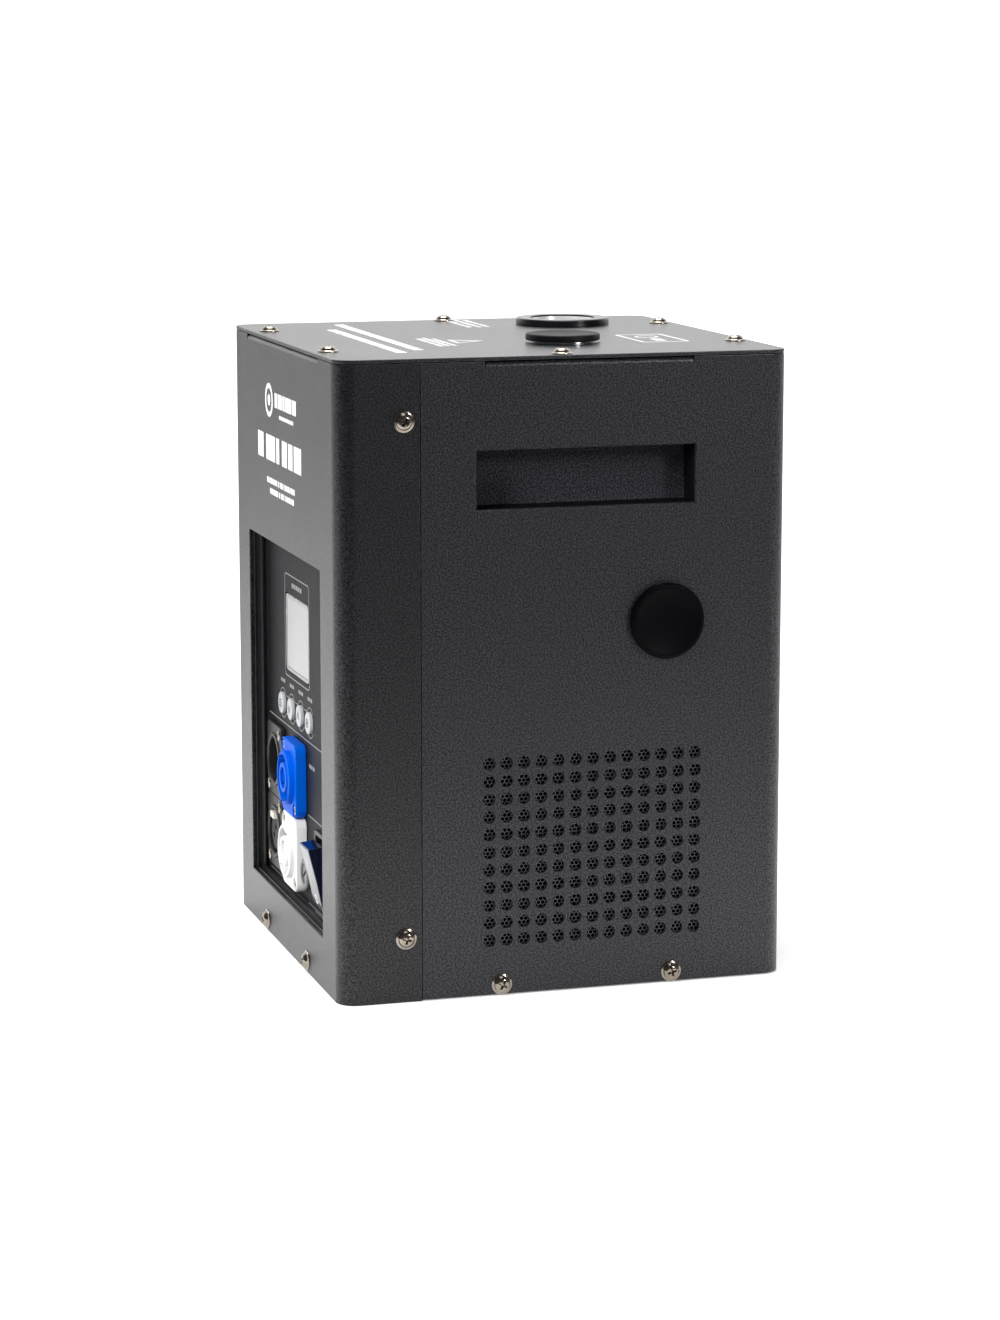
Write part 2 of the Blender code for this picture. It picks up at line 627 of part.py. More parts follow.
def build_feed():
    start = at(FEEDER_X, FEEDER_Y, AUGER_Z) @ auger_turn()
    run = math.hypot(FEEDER_X - NOZZLE_X, FEEDER_Y - NOZZLE_Y)
    end = run - TUBE_RADIUS - 1.0
    pipe = tube(9.0, 7.4, -12.0, end, 20)
    inlet = moved(cylinder(6.2, 0, 20, 16), at(FEEDER_X, FEEDER_Y, AUGER_Z))
    piece("auger_tube", moved(pipe, start), ((0.5, 0.5, 0.52), 1.0, 0.4), cut=[inlet])
    ring = [(2.5 * math.cos(a), 2.5 * math.sin(a))
            for a in (math.radians(d) for d in (45, 100, 160, 200, 260, 315))]
    ring += [(AUGER_RADIUS * math.cos(math.radians(d)), AUGER_RADIUS * math.sin(math.radians(d)))
             for d in (-20, 20)]
    steps = 8
    count = int(round((end - 4.0 + 9.0) / AUGER_PITCH * steps))
    path = [start @ at(0, 0, -9.0 + AUGER_PITCH * i / steps) @ turn(360.0 * i / steps, "Z")
            for i in range(count + 1)]
    shaft = moved(cylinder(2.4, -22.0, -8.0, 12), start)
    piece("feed_screw", swept(path, ring), ((0.6, 0.6, 0.6), 1.0, 0.35), add=[shaft],
          origin=start.translation)
    can = moved(cylinder(13.0, -48.0, -26.0, 20), start)
    gearbox = moved(cylinder(11.0, -26.5, -13.0, 20), start)
    socket = moved(cylinder(2.8, -23.0, 0.0, 12), start)
    piece("feed_motor", can, ((0.35, 0.35, 0.36), 1.0, 0.35), add=[gearbox], cut=[socket])


def build_blower():
    y0, y1 = BLOWER_Y
    mid = (y0 + y1) / 2
    place = at(BLOWER_X, mid, BLOWER_Z) @ TO_FRONT
    half = (y1 - y0) / 2
    drum = moved(cylinder(BLOWER_RADIUS, -half, half, 28), place)
    duct = box(NOZZLE_X - 7.4, NOZZLE_X + 7.4, y0, y1, BLOWER_Z, 103.0)
    room = moved(cylinder(BLOWER_RADIUS - 1.6, -half + 1.6, half - 1.6, 28), place)
    bore = box(NOZZLE_X - 5.8, NOZZLE_X + 5.8, y0 + 1.6, y1 - 1.6, BLOWER_Z, 110.0)
    eye = moved(cylinder(17.0, 0.0, half + 3, 24), place)
    piece("blower_housing", drum, ((0.03, 0.03, 0.033), 0.0, 0.5), add=[duct],
          cut=[room, bore, eye])
    hub = cylinder(24.5, -9.5, -8.0, 24)
    core = cylinder(9.0, -9.0, 7.0, 16)
    blades = [moved(box(16.5, 24.0, -0.7, 0.7, -8.6, 9.0), turn(30.0 * i, "Z"))
              for i in range(12)]
    piece("blower_rotor", moved(hub, place), ((0.05, 0.05, 0.055), 0.0, 0.45),
          add=[moved(core, place), moved(joined(*blades), place)], origin=place.translation)


def build_fan():
    place = at(FAN_X, FAN_Y, FAN_Z) @ TO_RIGHT
    half = FAN_SIZE / 2
    frame = prism(rounded(-half, half, -half, half, 4.0, 2), -7.5, 7.5)
    throat = cylinder(38.0, -9.0, 9.0, 32)
    arms = [box(-39.5, 39.5, -2.0, 2.0, 5.5, 7.4), box(-2.0, 2.0, -39.5, 39.5, 5.5, 7.4),
            cylinder(14.0, 5.2, 7.4, 20)]
    fan_frame = piece("fan_frame", moved(frame, place), ((0.015, 0.015, 0.017), 0.0, 0.5),
                      cut=[moved(throat, place)])
    for arm in arms:
        combine(fan_frame, moved(arm, place), "UNION")
    hub = cylinder(15.0, -6.5, 4.5, 24)
    blades = []
    for i in range(7):
        blade = moved(box(13.5, 36.2, -1.0, 1.0, -7.0, 7.0), turn(55, "X"))
        blade = ([(x, y, max(-5.5, min(4.0, z))) for x, y, z in blade[0]], blade[1])
        blades.append(moved(blade, turn(360.0 * i / 7, "Z")))
    piece("fan_rotor", moved(hub, place), ((0.015, 0.015, 0.017), 0.0, 0.5),
          add=[moved(b, place) for b in blades], origin=place.translation)


def build_electronics():
    supply = box(30.0, 84.0, -42.0, 64.0, SHEET + 0.3, 44.0)
    piece("power_supply", supply, ((0.5, 0.51, 0.52), 1.0, 0.4),
          cut=[box(34.0, 80.0, 64.0 - 12, 70.0, 32.0, 50.0)])
    sheet = box(-74.0, 74.0, -51.5, -50.0, SHEET + 0.3, 150.0)
    foot = box(-74.0, 74.0, -50.5, -44.0, SHEET + 0.3, SHEET + 1.8)
    piece("chassis_bracket", sheet, ((0.55, 0.56, 0.57), 1.0, 0.4), add=[foot])
    board = box(-58.0, 58.0, -56.0, -54.4, 62.0, 146.0)
    parts = [box(-50, -22, -60.0, -55.5, 112, 138), box(-12, 4, -58.5, -55.5, 116, 132),
             box(18, 48, -62.0, -55.5, 104, 122)]
    posts = [moved(cylinder(2.5, -55.0, -51.8, 8), turn(-90, "X") @ at(x, -z, 0))
             for x in (-52, 52) for z in (68, 140)]
    piece("main_board", board, ((0.02, 0.17, 0.07), 0.0, 0.5),
          add=[joined(*parts), joined(*posts)])


def clear_scene():
    for obj in list(bpy.data.objects):
        bpy.data.objects.remove(obj, do_unlink=True)


def main():
    clear_scene()
    build_front_shell()
    build_rear_shell()
    build_top_plate()
    build_base_plate()
    build_handle_cup("handle_cup_right", 1)
    build_handle_cup("handle_cup_left", -1)
    build_side_fittings()
    build_control_panel()
    build_display()
    build_power_socket("power_inlet", SOCKET_Z[0], (0.0, 0.085, 0.64), 40)
    build_power_socket("power_outlet", SOCKET_Z[1], (0.82, 0.82, 0.80), -40)
    build_dmx_sockets()
    build_fuse()
    build_switch()
    build_nozzle()
    build_feeder()
    build_feed()
    build_blower()
    build_fan()
    build_electronics()
    build_screws()


main()
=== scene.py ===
"""Stage spark fountain: finishes, detailed pieces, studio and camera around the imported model."""
import math

import bmesh
import bpy
from bpy.props import FloatProperty, FloatVectorProperty, IntProperty, PointerProperty
from mathutils import Matrix, Vector


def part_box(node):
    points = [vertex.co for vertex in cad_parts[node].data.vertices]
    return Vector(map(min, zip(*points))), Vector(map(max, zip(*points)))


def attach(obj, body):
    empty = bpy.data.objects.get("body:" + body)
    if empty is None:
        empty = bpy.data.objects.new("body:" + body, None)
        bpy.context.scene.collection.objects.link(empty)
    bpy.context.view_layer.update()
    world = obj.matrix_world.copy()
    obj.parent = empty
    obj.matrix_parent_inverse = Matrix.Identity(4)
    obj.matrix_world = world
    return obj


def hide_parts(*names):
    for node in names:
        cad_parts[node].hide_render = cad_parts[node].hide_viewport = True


bl_info = {
    "name": "Stage Spark Fountain",
    "version": (1, 0, 0),
    "blender": (4, 5, 0),
    "location": "View3D > Sidebar > Spark Fountain",
    "description": "Builds the visible pieces of a stage spark fountain around its packed model",
    "category": "Object",
}

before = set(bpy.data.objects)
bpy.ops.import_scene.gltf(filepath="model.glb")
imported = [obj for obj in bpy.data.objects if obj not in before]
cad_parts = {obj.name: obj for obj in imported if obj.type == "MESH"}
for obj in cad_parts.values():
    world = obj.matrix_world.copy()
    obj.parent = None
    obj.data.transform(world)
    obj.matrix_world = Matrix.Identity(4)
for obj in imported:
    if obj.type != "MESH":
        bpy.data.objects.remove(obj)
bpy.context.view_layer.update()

MM = 0.001
CABINET = "cabinet"


# ---------------------------------------------------------------- places from the frame

def span(node):
    """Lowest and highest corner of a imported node, in millimetres."""
    lo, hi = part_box(node)
    return lo / MM, hi / MM


def middle(node):
    lo, hi = span(node)
    return (lo + hi) / 2


PLATE_LO, PLATE_HI = span("top_plate")
FRONT_LO, FRONT_HI = span("front_shell")
REAR_LO, REAR_HI = span("rear_shell")
PAN_LO, PAN_HI = span("control_panel")
HALF_X = PLATE_HI.x
HALF_Y = PLATE_HI.y
HEIGHT = PLATE_HI.z
SHEET = PLATE_HI.z - PLATE_LO.z
WALL_TOP = FRONT_HI.z
SEAM_Y = FRONT_HI.y
PANEL_Y = PAN_HI.y - SHEET
CORNER = 8.0
GAP = 0.2
SEAM_GAP = 0.35
WINDOW_X = (-63.6, 63.6)
WINDOW_Z = (21.1, 169.2)
TAB_REACH = 63.0
SIDE_TAB_Y = (-33.0, 52.3)
PRINT_HEIGHT = 0.06
PRINT_ROOT = -0.02
VIEW_AZIMUTH = 73.44
VIEW_ELEVATION = 9.416
VIEW_TARGET = Vector((0.00988, 0.0, 0.13336))
VIEW_DISTANCE = 1.4704
VIEW_LENS = 96.54
VIEW_SHIFT = (-0.00507, -0.02387)
VIEW_SIDE = Vector((math.sin(math.radians(VIEW_AZIMUTH)),
                    -math.cos(math.radians(VIEW_AZIMUTH)), 0.0))


# ---------------------------------------------------------------- settings

class SparkFountainSizes(bpy.types.PropertyGroup):
    """Sizes that a user may change."""

    edge_break: FloatProperty(
        name="Edge break", description="Width of the softened sheet edges", unit="LENGTH",
        precision=5, default=0.0003, min=0.00005, max=0.0006)
    vent_pitch: FloatProperty(
        name="Vent pitch", description="Distance between vent holes", unit="LENGTH",
        precision=5, default=0.00713, min=0.006)
    vent_radius: FloatProperty(
        name="Vent radius", description="Radius of one vent hole", unit="LENGTH",
        precision=5, default=0.00255, min=0.001, max=0.0032)
    vent_columns: IntProperty(
        name="Vent columns", description="Vent holes along the side", default=13, min=1)
    vent_rows: IntProperty(
        name="Vent rows", description="Vent holes up the side", default=11, min=1)
    mesh_pitch: FloatProperty(
        name="Dust mesh pitch", description="Distance between the dust mesh's openings",
        unit="LENGTH", precision=5, default=0.00175, min=0.0012)
    screw_seed: IntProperty(
        name="Screw seed", description="Chooses how far each screw head is turned", default=4)
    print_line: FloatProperty(
        name="Printed line", description="Width of the thin printed lines", unit="LENGTH",
        precision=5, default=0.00045, min=0.0002, max=0.0015)


class SparkFountainColours(bpy.types.PropertyGroup):
    """Finish colours that a user may change."""

    powder: FloatVectorProperty(
        name="Powder coat", description="Cabinet colour", subtype="COLOR", size=3,
        min=0, max=1, default=(0.0082, 0.0087, 0.0122))
    panel: FloatVectorProperty(
        name="Panel", description="Control panel colour", subtype="COLOR", size=3,
        min=0, max=1, default=(0.0095, 0.0098, 0.0115))
    inlet: FloatVectorProperty(
        name="Mains inlet", description="Colour of the mains inlet", subtype="COLOR", size=3,
        min=0, max=1, default=(0.0, 0.10, 0.60))
    outlet: FloatVectorProperty(
        name="Mains outlet", description="Colour of the mains outlet", subtype="COLOR", size=3,
        min=0, max=1, default=(0.80, 0.80, 0.79))
    ink: FloatVectorProperty(
        name="Printed ink", description="Colour of the printed lines", subtype="COLOR", size=3,
        min=0, max=1, default=(0.82, 0.82, 0.81))


def sizes():
    return bpy.context.scene.spark_fountain_sizes


def colours():
    return bpy.context.scene.spark_fountain_colours


# ---------------------------------------------------------------- shapes

def at(x=0.0, y=0.0, z=0.0):
    return Matrix.Translation((x, y, z))


def turn(degrees, axis):
    return Matrix.Rotation(math.radians(degrees), 4, axis)


TO_RIGHT = turn(90, "Y")
TO_FRONT = turn(90, "X")
TO_SIDE = Matrix(((0, 0, 1, 0), (1, 0, 0, 0), (0, 1, 0, 0), (0, 0, 0, 1)))


def facing(x, z, y=None):
    """Placement on the control panel: local +Z points out, to the front, and +Y up."""
    return at(x, PANEL_Y if y is None else y, z) @ TO_FRONT


def moved(shape, matrix):
    verts, faces = shape
    return [matrix @ Vector(v) for v in verts], faces


def joined(*shapes):
    verts = []
    faces = []
    for some_verts, some_faces in shapes:
        start = len(verts)
        verts.extend(some_verts)
        faces.extend([start + i for i in face] for face in some_faces)
    return verts, faces


def circle(radius, sides, x=0.0, y=0.0):
    step = 2 * math.pi / sides
    return [(x + radius * math.cos(i * step), y + radius * math.sin(i * step))
            for i in range(sides)]


def arc(x, y, radius, start, end, steps):
    angles = [math.radians(start + (end - start) * i / steps) for i in range(steps + 1)]
    return [(x + radius * math.cos(a), y + radius * math.sin(a)) for a in angles]


def rounded(x0, x1, y0, y1, radius, steps=6):
    outline = arc(x1 - radius, y1 - radius, radius, 0, 90, steps)
    outline += arc(x0 + radius, y1 - radius, radius, 90, 180, steps)
    outline += arc(x0 + radius, y0 + radius, radius, 180, 270, steps)
    outline += arc(x1 - radius, y0 + radius, radius, 270, 360, steps)
    return outline


def inset(outline, distance):
    """Move every side of an anticlockwise outline inwards."""
    count = len(outline)
    result = []
    for i in range(count):
        before, here, after = (Vector(outline[k % count]) for k in (i - 1, i, i + 1))
        into = (here - before).normalized()
        away = (after - here).normalized()
        corner = Vector((-into.y - away.y, into.x + away.x))
        here = here + corner * (2 * distance / corner.length_squared)
        result.append((here.x, here.y))
    return result


def stack(rings):
    """Closed solid through (outline, height) rings that all have as many points."""
    n = len(rings[0][0])
    verts = [(x, y, z) for outline, z in rings for x, y in outline]
    faces = [[n - 1 - i for i in range(n)]]
    for k in range(len(rings) - 1):
        a, b = k * n, (k + 1) * n
        faces += [[a + i, a + (i + 1) % n, b + (i + 1) % n, b + i] for i in range(n)]
    last = (len(rings) - 1) * n
    faces.append([last + i for i in range(n)])
    return verts, faces


def prism(outline, low, high):
    return stack([(outline, low), (outline, high)])


def softened(outline, low, high, edge, top_only=False):
    """Prism whose rims are rounded off in two small steps."""
    half = edge * 0.3
    rings = [(inset(outline, edge), high), (inset(outline, half), high - half),
             (outline, high - edge)]
    if top_only:
        rings.append((outline, low))
    else:
        rings += [(outline, low + edge), (inset(outline, half), low + half),
                  (inset(outline, edge), low)]
    return stack(rings[::-1])


def flared(outline, depth, edge, above=2.0):
    """Cutter from depth below the surface to above it, wider by edge where it breaks out."""
    wide = inset(outline, -edge)
    return stack([(outline, -depth), (outline, -edge), (wide, 0.0), (wide, above)])


def box(x0, x1, y0, y1, z0, z1):
    return prism([(x0, y0), (x1, y0), (x1, y1), (x0, y1)], z0, z1)


def soft_box(x0, x1, y0, y1, z0, z1, edge=0.3):
    return softened([(x0, y0), (x1, y0), (x1, y1), (x0, y1)], z0, z1, edge)


def cylinder(radius, low, high, sides=32):
    return prism(circle(radius, sides), low, high)


def lathe(profile, sides=64):
    """Revolve (radius, height) points about Z. Points on the axis close the ends."""
    verts = []
    rings = []
    for radius, height in profile:
        start = len(verts)
        if radius == 0.0:
            rings.append([start])
            verts.append((0.0, 0.0, height))
        else:
            rings.append(list(range(start, start + sides)))
            verts.extend((x, y, height) for x, y in circle(radius, sides))
    faces = []
    pairs = list(zip(rings, rings[1:]))
    if len(rings[0]) > 1:
        pairs.append((rings[-1], rings[0]))
    for low, high in pairs:
        for i in range(sides):
            j = (i + 1) % sides
            if len(low) == 1:
                faces.append([low[0], high[j], high[i]])
            elif len(high) == 1:
                faces.append([low[i], low[j], high[0]])
            else:
                faces.append([low[i], low[j], high[j], high[i]])
    return verts, faces


def bent(points, radius, steps=4):
    """Round the inner corners of an open profile with small arcs."""
    result = [points[0]]
    for before, here, after in zip(points, points[1:], points[2:]):
        b, h, a = Vector(before), Vector(here), Vector(after)
        reach = min(radius, (b - h).length * 0.45, (a - h).length * 0.45)
        start = h + (b - h).normalized() * reach
        end = h + (a - h).normalized() * reach
        for i in range(steps + 1):
            t = i / steps
            p = start * (1 - t) ** 2 + h * 2 * t * (1 - t) + end * t ** 2
            result.append((p.x, p.y))
    result.append(points[-1])
    return result


def strip(points, width, high, low=PRINT_ROOT):
    """Flat raised line of one width through points in the XY plane."""
    left = []
    right = []
    for i, point in enumerate(points):
        here = Vector(point)
        before = Vector(points[max(i - 1, 0)])
        after = Vector(points[min(i + 1, len(points) - 1)])
        into = (here - before).normalized() if i else (after - here).normalized()
        away = (after - here).normalized() if i < len(points) - 1 else into
        side = Vector((-into.y - away.y, into.x + away.x))
        side *= width / side.length_squared
        left.append(tuple(here + side))
        right.append(tuple(here - side))
    return prism(right + left[::-1], low, high)


def loop_strip(outline, width, high, low=PRINT_ROOT):
    """Flat raised line of one width round a closed anticlockwise outline."""
    inner = inset(outline, width)
    n = len(outline)
    verts = [(x, y, z) for z in (low, high) for ring in (outline, inner) for x, y in ring]
    faces = []
    for i in range(n):
        j = (i + 1) % n
        faces.append([2 * n + i, 2 * n + j, 3 * n + j, 3 * n + i])
        faces.append([j, i, n + i, n + j])
        faces.append([i, j, 2 * n + j, 2 * n + i])
        faces.append([n + j, n + i, 3 * n + i, 3 * n + j])
    return verts, faces


# ---------------------------------------------------------------- pieces

def new_object(name, shape):
    verts, faces = shape
    mesh = bpy.data.meshes.new(name)
    mesh.from_pydata([tuple(Vector(v) * MM) for v in verts], [], faces)
    work = bmesh.new()
    work.from_mesh(mesh)
    bmesh.ops.remove_doubles(work, verts=work.verts, dist=1e-7)
    bmesh.ops.recalc_face_normals(work, faces=work.faces)
    work.to_mesh(mesh)
    work.free()
    obj = bpy.data.objects.new(name, mesh)
    bpy.context.scene.collection.objects.link(obj)
    return obj


def settle(obj):
    """Turn the evaluated object into plain mesh and drop its modifiers."""
    depsgraph = bpy.context.evaluated_depsgraph_get()
    mesh = bpy.data.meshes.new_from_object(obj.evaluated_get(depsgraph))
    obj.modifiers.clear()
    obj.data = mesh


def combine(obj, shape, operation="DIFFERENCE"):
    tool = new_object("tool", shape)
    modifier = obj.modifiers.new("combine", "BOOLEAN")
    modifier.operation = operation
    modifier.solver = "EXACT"
    modifier.object = tool
    settle(obj)
    bpy.data.objects.remove(tool)


def taken_back(obj):
    """Return an object's mesh as a shape and delete the object."""
    verts = [tuple(v.co / MM) for v in obj.data.vertices]
    faces = [list(p.vertices) for p in obj.data.polygons]
    bpy.data.objects.remove(obj)
    return verts, faces


def complete(obj, finish, body=CABINET, replaces=(), crease=32):
    """Smooth a piece, give it its finish and tie it to its body."""
    mesh = obj.data
    mesh.name = obj.name
    mesh.materials.clear()
    mesh.materials.append(finish)
    for polygon in mesh.polygons:
        polygon.use_smooth = True
        polygon.material_index = 0
    mesh.set_sharp_from_angle(angle=math.radians(crease))
    weighted = obj.modifiers.new("weighted_normals", "WEIGHTED_NORMAL")
    weighted.keep_sharp = True
    weighted.weight = 100
    settle(obj)
    obj.data.name = obj.name
    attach(obj, body)
    if replaces:
        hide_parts(*replaces)
    return obj


def piece(name, shape, finish, body=CABINET, replaces=(), add=(), cut=(), crease=32):
    obj = new_object(name, shape)
    for extra in add:
        combine(obj, extra, "UNION")
    for hole in cut:
        combine(obj, hole)
    return complete(obj, finish, body, replaces, crease)


# ---------------------------------------------------------------- shader helpers

def node(tree, kind, place=(0, 0), **settings):
    made = tree.nodes.new(kind)
    made.location = place
    inputs = settings.pop("inputs", {})
    for key, value in settings.items():
        setattr(made, key, value)
    for key, value in inputs.items():
        made.inputs[key].default_value = value
    return made


def wire(tree, source, target):
    tree.links.new(source, target)


def shader_group(name, inputs, outputs):
    """New shader node group with float or vector inputs and named outputs."""
    tree = bpy.data.node_groups.new(name, "ShaderNodeTree")
    for label, kind, value in inputs:
        socket = tree.interface.new_socket(name=label, in_out="INPUT", socket_type=kind)
        if value is not None:
            socket.default_value = value
    for label, kind in outputs:
        tree.interface.new_socket(name=label, in_out="OUTPUT", socket_type=kind)
    return tree, tree.nodes.new("NodeGroupInput"), tree.nodes.new("NodeGroupOutput")


def noise(tree, vector, scale, detail=2.0, roughness=0.5):
    made = node(tree, "ShaderNodeTexNoise", inputs={"Detail": detail, "Roughness": roughness})
    wire(tree, vector, made.inputs["Vector"])
    if isinstance(scale, (int, float)):
        made.inputs["Scale"].default_value = scale
    else:
        wire(tree, scale, made.inputs["Scale"])
    return made.outputs["Fac"]


def math_node(tree, operation, a, b=None, clamp=False):
    made = node(tree, "ShaderNodeMath", operation=operation, use_clamp=clamp)
    for index, value in enumerate((a, b)):
        if value is None:
            continue
        if isinstance(value, (int, float)):
            made.inputs[index].default_value = value
        else:
            wire(tree, value, made.inputs[index])
    return made.outputs[0]


def spread(tree, value, low, high, new_low=0.0, new_high=1.0):
    made = node(tree, "ShaderNodeMapRange")
    wire(tree, value, made.inputs["Value"])
    for key, number in (("From Min", low), ("From Max", high), ("To Min", new_low),
                        ("To Max", new_high)):
        made.inputs[key].default_value = number
    return made.outputs["Result"]


def blend_colours(tree, factor, first, second):
    made = node(tree, "ShaderNodeMix", data_type="RGBA")
    wire(tree, factor, made.inputs["Factor"])
    for socket, value in ((made.inputs[6], first), (made.inputs[7], second)):
        if isinstance(value, tuple):
            socket.default_value = (*value[:3], 1.0)
        else:
            wire(tree, value, socket)
    return made.outputs[2]


def scaled(colour, amount):
    return tuple(min(1.0, channel * amount) for channel in colour)


def grain_group():
    """Two sizes of speckle for coated and moulded surfaces."""
    if "surface_grain" in bpy.data.node_groups:
        return bpy.data.node_groups["surface_grain"]
    tree, source, result = shader_group(
        "surface_grain",
        [("Vector", "NodeSocketVector", None), ("Scale", "NodeSocketFloat", 1500.0),
         ("Pebble", "NodeSocketFloat", 0.5)],
        [("Fine", "NodeSocketFloat"), ("Broad", "NodeSocketFloat"),
         ("Height", "NodeSocketFloat")])
    vector, scale, pebble = (source.outputs[k] for k in ("Vector", "Scale", "Pebble"))
    fine = noise(tree, vector, scale, 3.0, 0.6)
    broad = noise(tree, vector, math_node(tree, "MULTIPLY", scale, 0.02), 3.0, 0.55)
    cells = node(tree, "ShaderNodeTexVoronoi", feature="SMOOTH_F1")
    wire(tree, vector, cells.inputs["Vector"])
    wire(tree, math_node(tree, "MULTIPLY", scale, 0.8), cells.inputs["Scale"])
    lumps = math_node(tree, "MULTIPLY", cells.outputs["Distance"], pebble)
    wire(tree, spread(tree, fine, 0.41, 0.59), result.inputs["Fine"])
    wire(tree, spread(tree, broad, 0.3, 0.7), result.inputs["Broad"])
    wire(tree, math_node(tree, "SUBTRACT", fine, lumps), result.inputs["Height"])
    return tree


def wear_group():
    """Mask that is bright along worn outer edges, broken up by noise."""
    if "edge_wear" in bpy.data.node_groups:
        return bpy.data.node_groups["edge_wear"]
    tree, source, result = shader_group(
        "edge_wear",
        [("Vector", "NodeSocketVector", None), ("Radius", "NodeSocketFloat", 0.0006),
         ("Amount", "NodeSocketFloat", 1.0)],
        [("Mask", "NodeSocketFloat")])
    round_normal = node(tree, "ShaderNodeBevel", samples=4)
    wire(tree, source.outputs["Radius"], round_normal.inputs["Radius"])
    geometry = node(tree, "ShaderNodeNewGeometry")
    dot = node(tree, "ShaderNodeVectorMath", operation="DOT_PRODUCT")
    wire(tree, round_normal.outputs["Normal"], dot.inputs[0])
    wire(tree, geometry.outputs["Normal"], dot.inputs[1])
    edge = spread(tree, dot.outputs["Value"], 0.995, 0.85)
    patches = spread(tree, noise(tree, source.outputs["Vector"], 260.0, 3.0), 0.4, 0.65)
    mask = math_node(tree, "MULTIPLY", edge, patches)
    mask = math_node(tree, "MULTIPLY", mask, source.outputs["Amount"], clamp=True)
    wire(tree, mask, result.inputs["Mask"])
    return tree


def dust_group():
    """Faint settled dust on surfaces that face up."""
    if "settled_dust" in bpy.data.node_groups:
        return bpy.data.node_groups["settled_dust"]
    tree, source, result = shader_group(
        "settled_dust",
        [("Vector", "NodeSocketVector", None), ("Amount", "NodeSocketFloat", 0.2)],
        [("Mask", "NodeSocketFloat")])
    geometry = node(tree, "ShaderNodeNewGeometry")
    split = node(tree, "ShaderNodeSeparateXYZ")
    wire(tree, geometry.outputs["Normal"], split.inputs[0])
    up = spread(tree, split.outputs["Z"], 0.5, 1.0)
    specks = spread(tree, noise(tree, source.outputs["Vector"], 700.0, 4.0, 0.7), 0.55, 0.8)
    drift = spread(tree, noise(tree, source.outputs["Vector"], 25.0, 3.0), 0.35, 0.7)
    mask = math_node(tree, "MULTIPLY", math_node(tree, "MULTIPLY", up, specks), drift)
    mask = math_node(tree, "MULTIPLY", mask, source.outputs["Amount"], clamp=True)
    wire(tree, mask, result.inputs["Mask"])
    return tree


def group_node(tree, group, vector, **values):
    made = node(tree, "ShaderNodeGroup", node_tree=group)
    wire(tree, vector, made.inputs["Vector"])
    for key, value in values.items():
        made.inputs[key].default_value = value
    return made


def finish(name, build):
    """Fetch a finish by name, building it the first time."""
    found = bpy.data.materials.get(name)
    if found:
        return found
    material = bpy.data.materials.new(name)
    material.use_nodes = True
    tree = material.node_tree
    shader = tree.nodes["Principled BSDF"]
    coordinates = node(tree, "ShaderNodeTexCoord", (-1200, 0)).outputs["Object"]
    build(tree, shader, coordinates)
    return material


def bump(tree, shader, height, distance, strength=1.0):
    made = node(tree, "ShaderNodeBump", inputs={"Strength": strength, "Distance": distance})
    wire(tree, height, made.inputs["Height"])
    wire(tree, made.outputs["Normal"], shader.inputs["Normal"])
    return made


def coated(name, colour, scale=1500.0, rough=(0.42, 0.58), depth=0.00006, wear=0.25, dust=0.15,
           pebble=0.5, contrast=0.35, specular=0.5, lacquer=0.0, lacquer_rough=0.3,
           painted_side_shade=1.0):
    """Painted, powder-coated or moulded surface with speckle, worn edges and a little dust.

    A share below one thins the colour on faces that do not look along X: painted shade for the
    side walls of a deep pocket.
    """

    def build(tree, shader, vector):
        grain = group_node(tree, grain_group(), vector, Scale=scale, Pebble=pebble)
        worn = group_node(tree, wear_group(), vector, Amount=wear)
        dusty = group_node(tree, dust_group(), vector, Amount=dust)
        body = blend_colours(tree, grain.outputs["Fine"], scaled(colour, 1 - contrast),
                             scaled(colour, 1 + contrast))
        tinted = blend_colours(tree, spread(tree, grain.outputs["Broad"], 0, 1, 0.0, 0.25), body,
                               scaled(colour, 1.35))
        bright = tuple(channel * 0.5 + 0.12 for channel in colour)
        edged = blend_colours(tree, worn.outputs["Mask"], tinted, bright)
        # painted shade: faces that do not look along X keep only a share of the colour, darkening
        # the side walls of a pocket
        if painted_side_shade < 1.0:
            split = node(tree, "ShaderNodeSeparateXYZ")
            wire(tree, node(tree, "ShaderNodeNewGeometry").outputs["Normal"], split.inputs[0])
            along = spread(tree, math_node(tree, "ABSOLUTE", split.outputs["X"]), 0.3, 0.9)
            edged = blend_colours(tree, along, scaled(colour, painted_side_shade), edged)
        covered = blend_colours(tree, dusty.outputs["Mask"], edged, (0.42, 0.41, 0.39))
        wire(tree, covered, shader.inputs["Base Color"])
        sheen = math_node(tree, "ADD", math_node(tree, "MULTIPLY", grain.outputs["Fine"], 0.6),
                          math_node(tree, "MULTIPLY", grain.outputs["Broad"], 0.4))
        wire(tree, spread(tree, sheen, 0, 1, *rough), shader.inputs["Roughness"])
        bump(tree, shader, grain.outputs["Height"], depth)
        shader.inputs["Specular IOR Level"].default_value = specular
        if lacquer:
            shader.inputs["Coat Weight"].default_value = lacquer
            shader.inputs["Coat Roughness"].default_value = lacquer_rough
            wire(tree, spread(tree, grain.outputs["Fine"], 0, 1, 1.32, 1.66),
                 shader.inputs["Coat IOR"])
            skin = node(tree, "ShaderNodeBump", inputs={"Distance": depth * 0.35})
            wire(tree, grain.outputs["Height"], skin.inputs["Height"])
            wire(tree, skin.outputs["Normal"], shader.inputs["Coat Normal"])

    return finish(name, build)


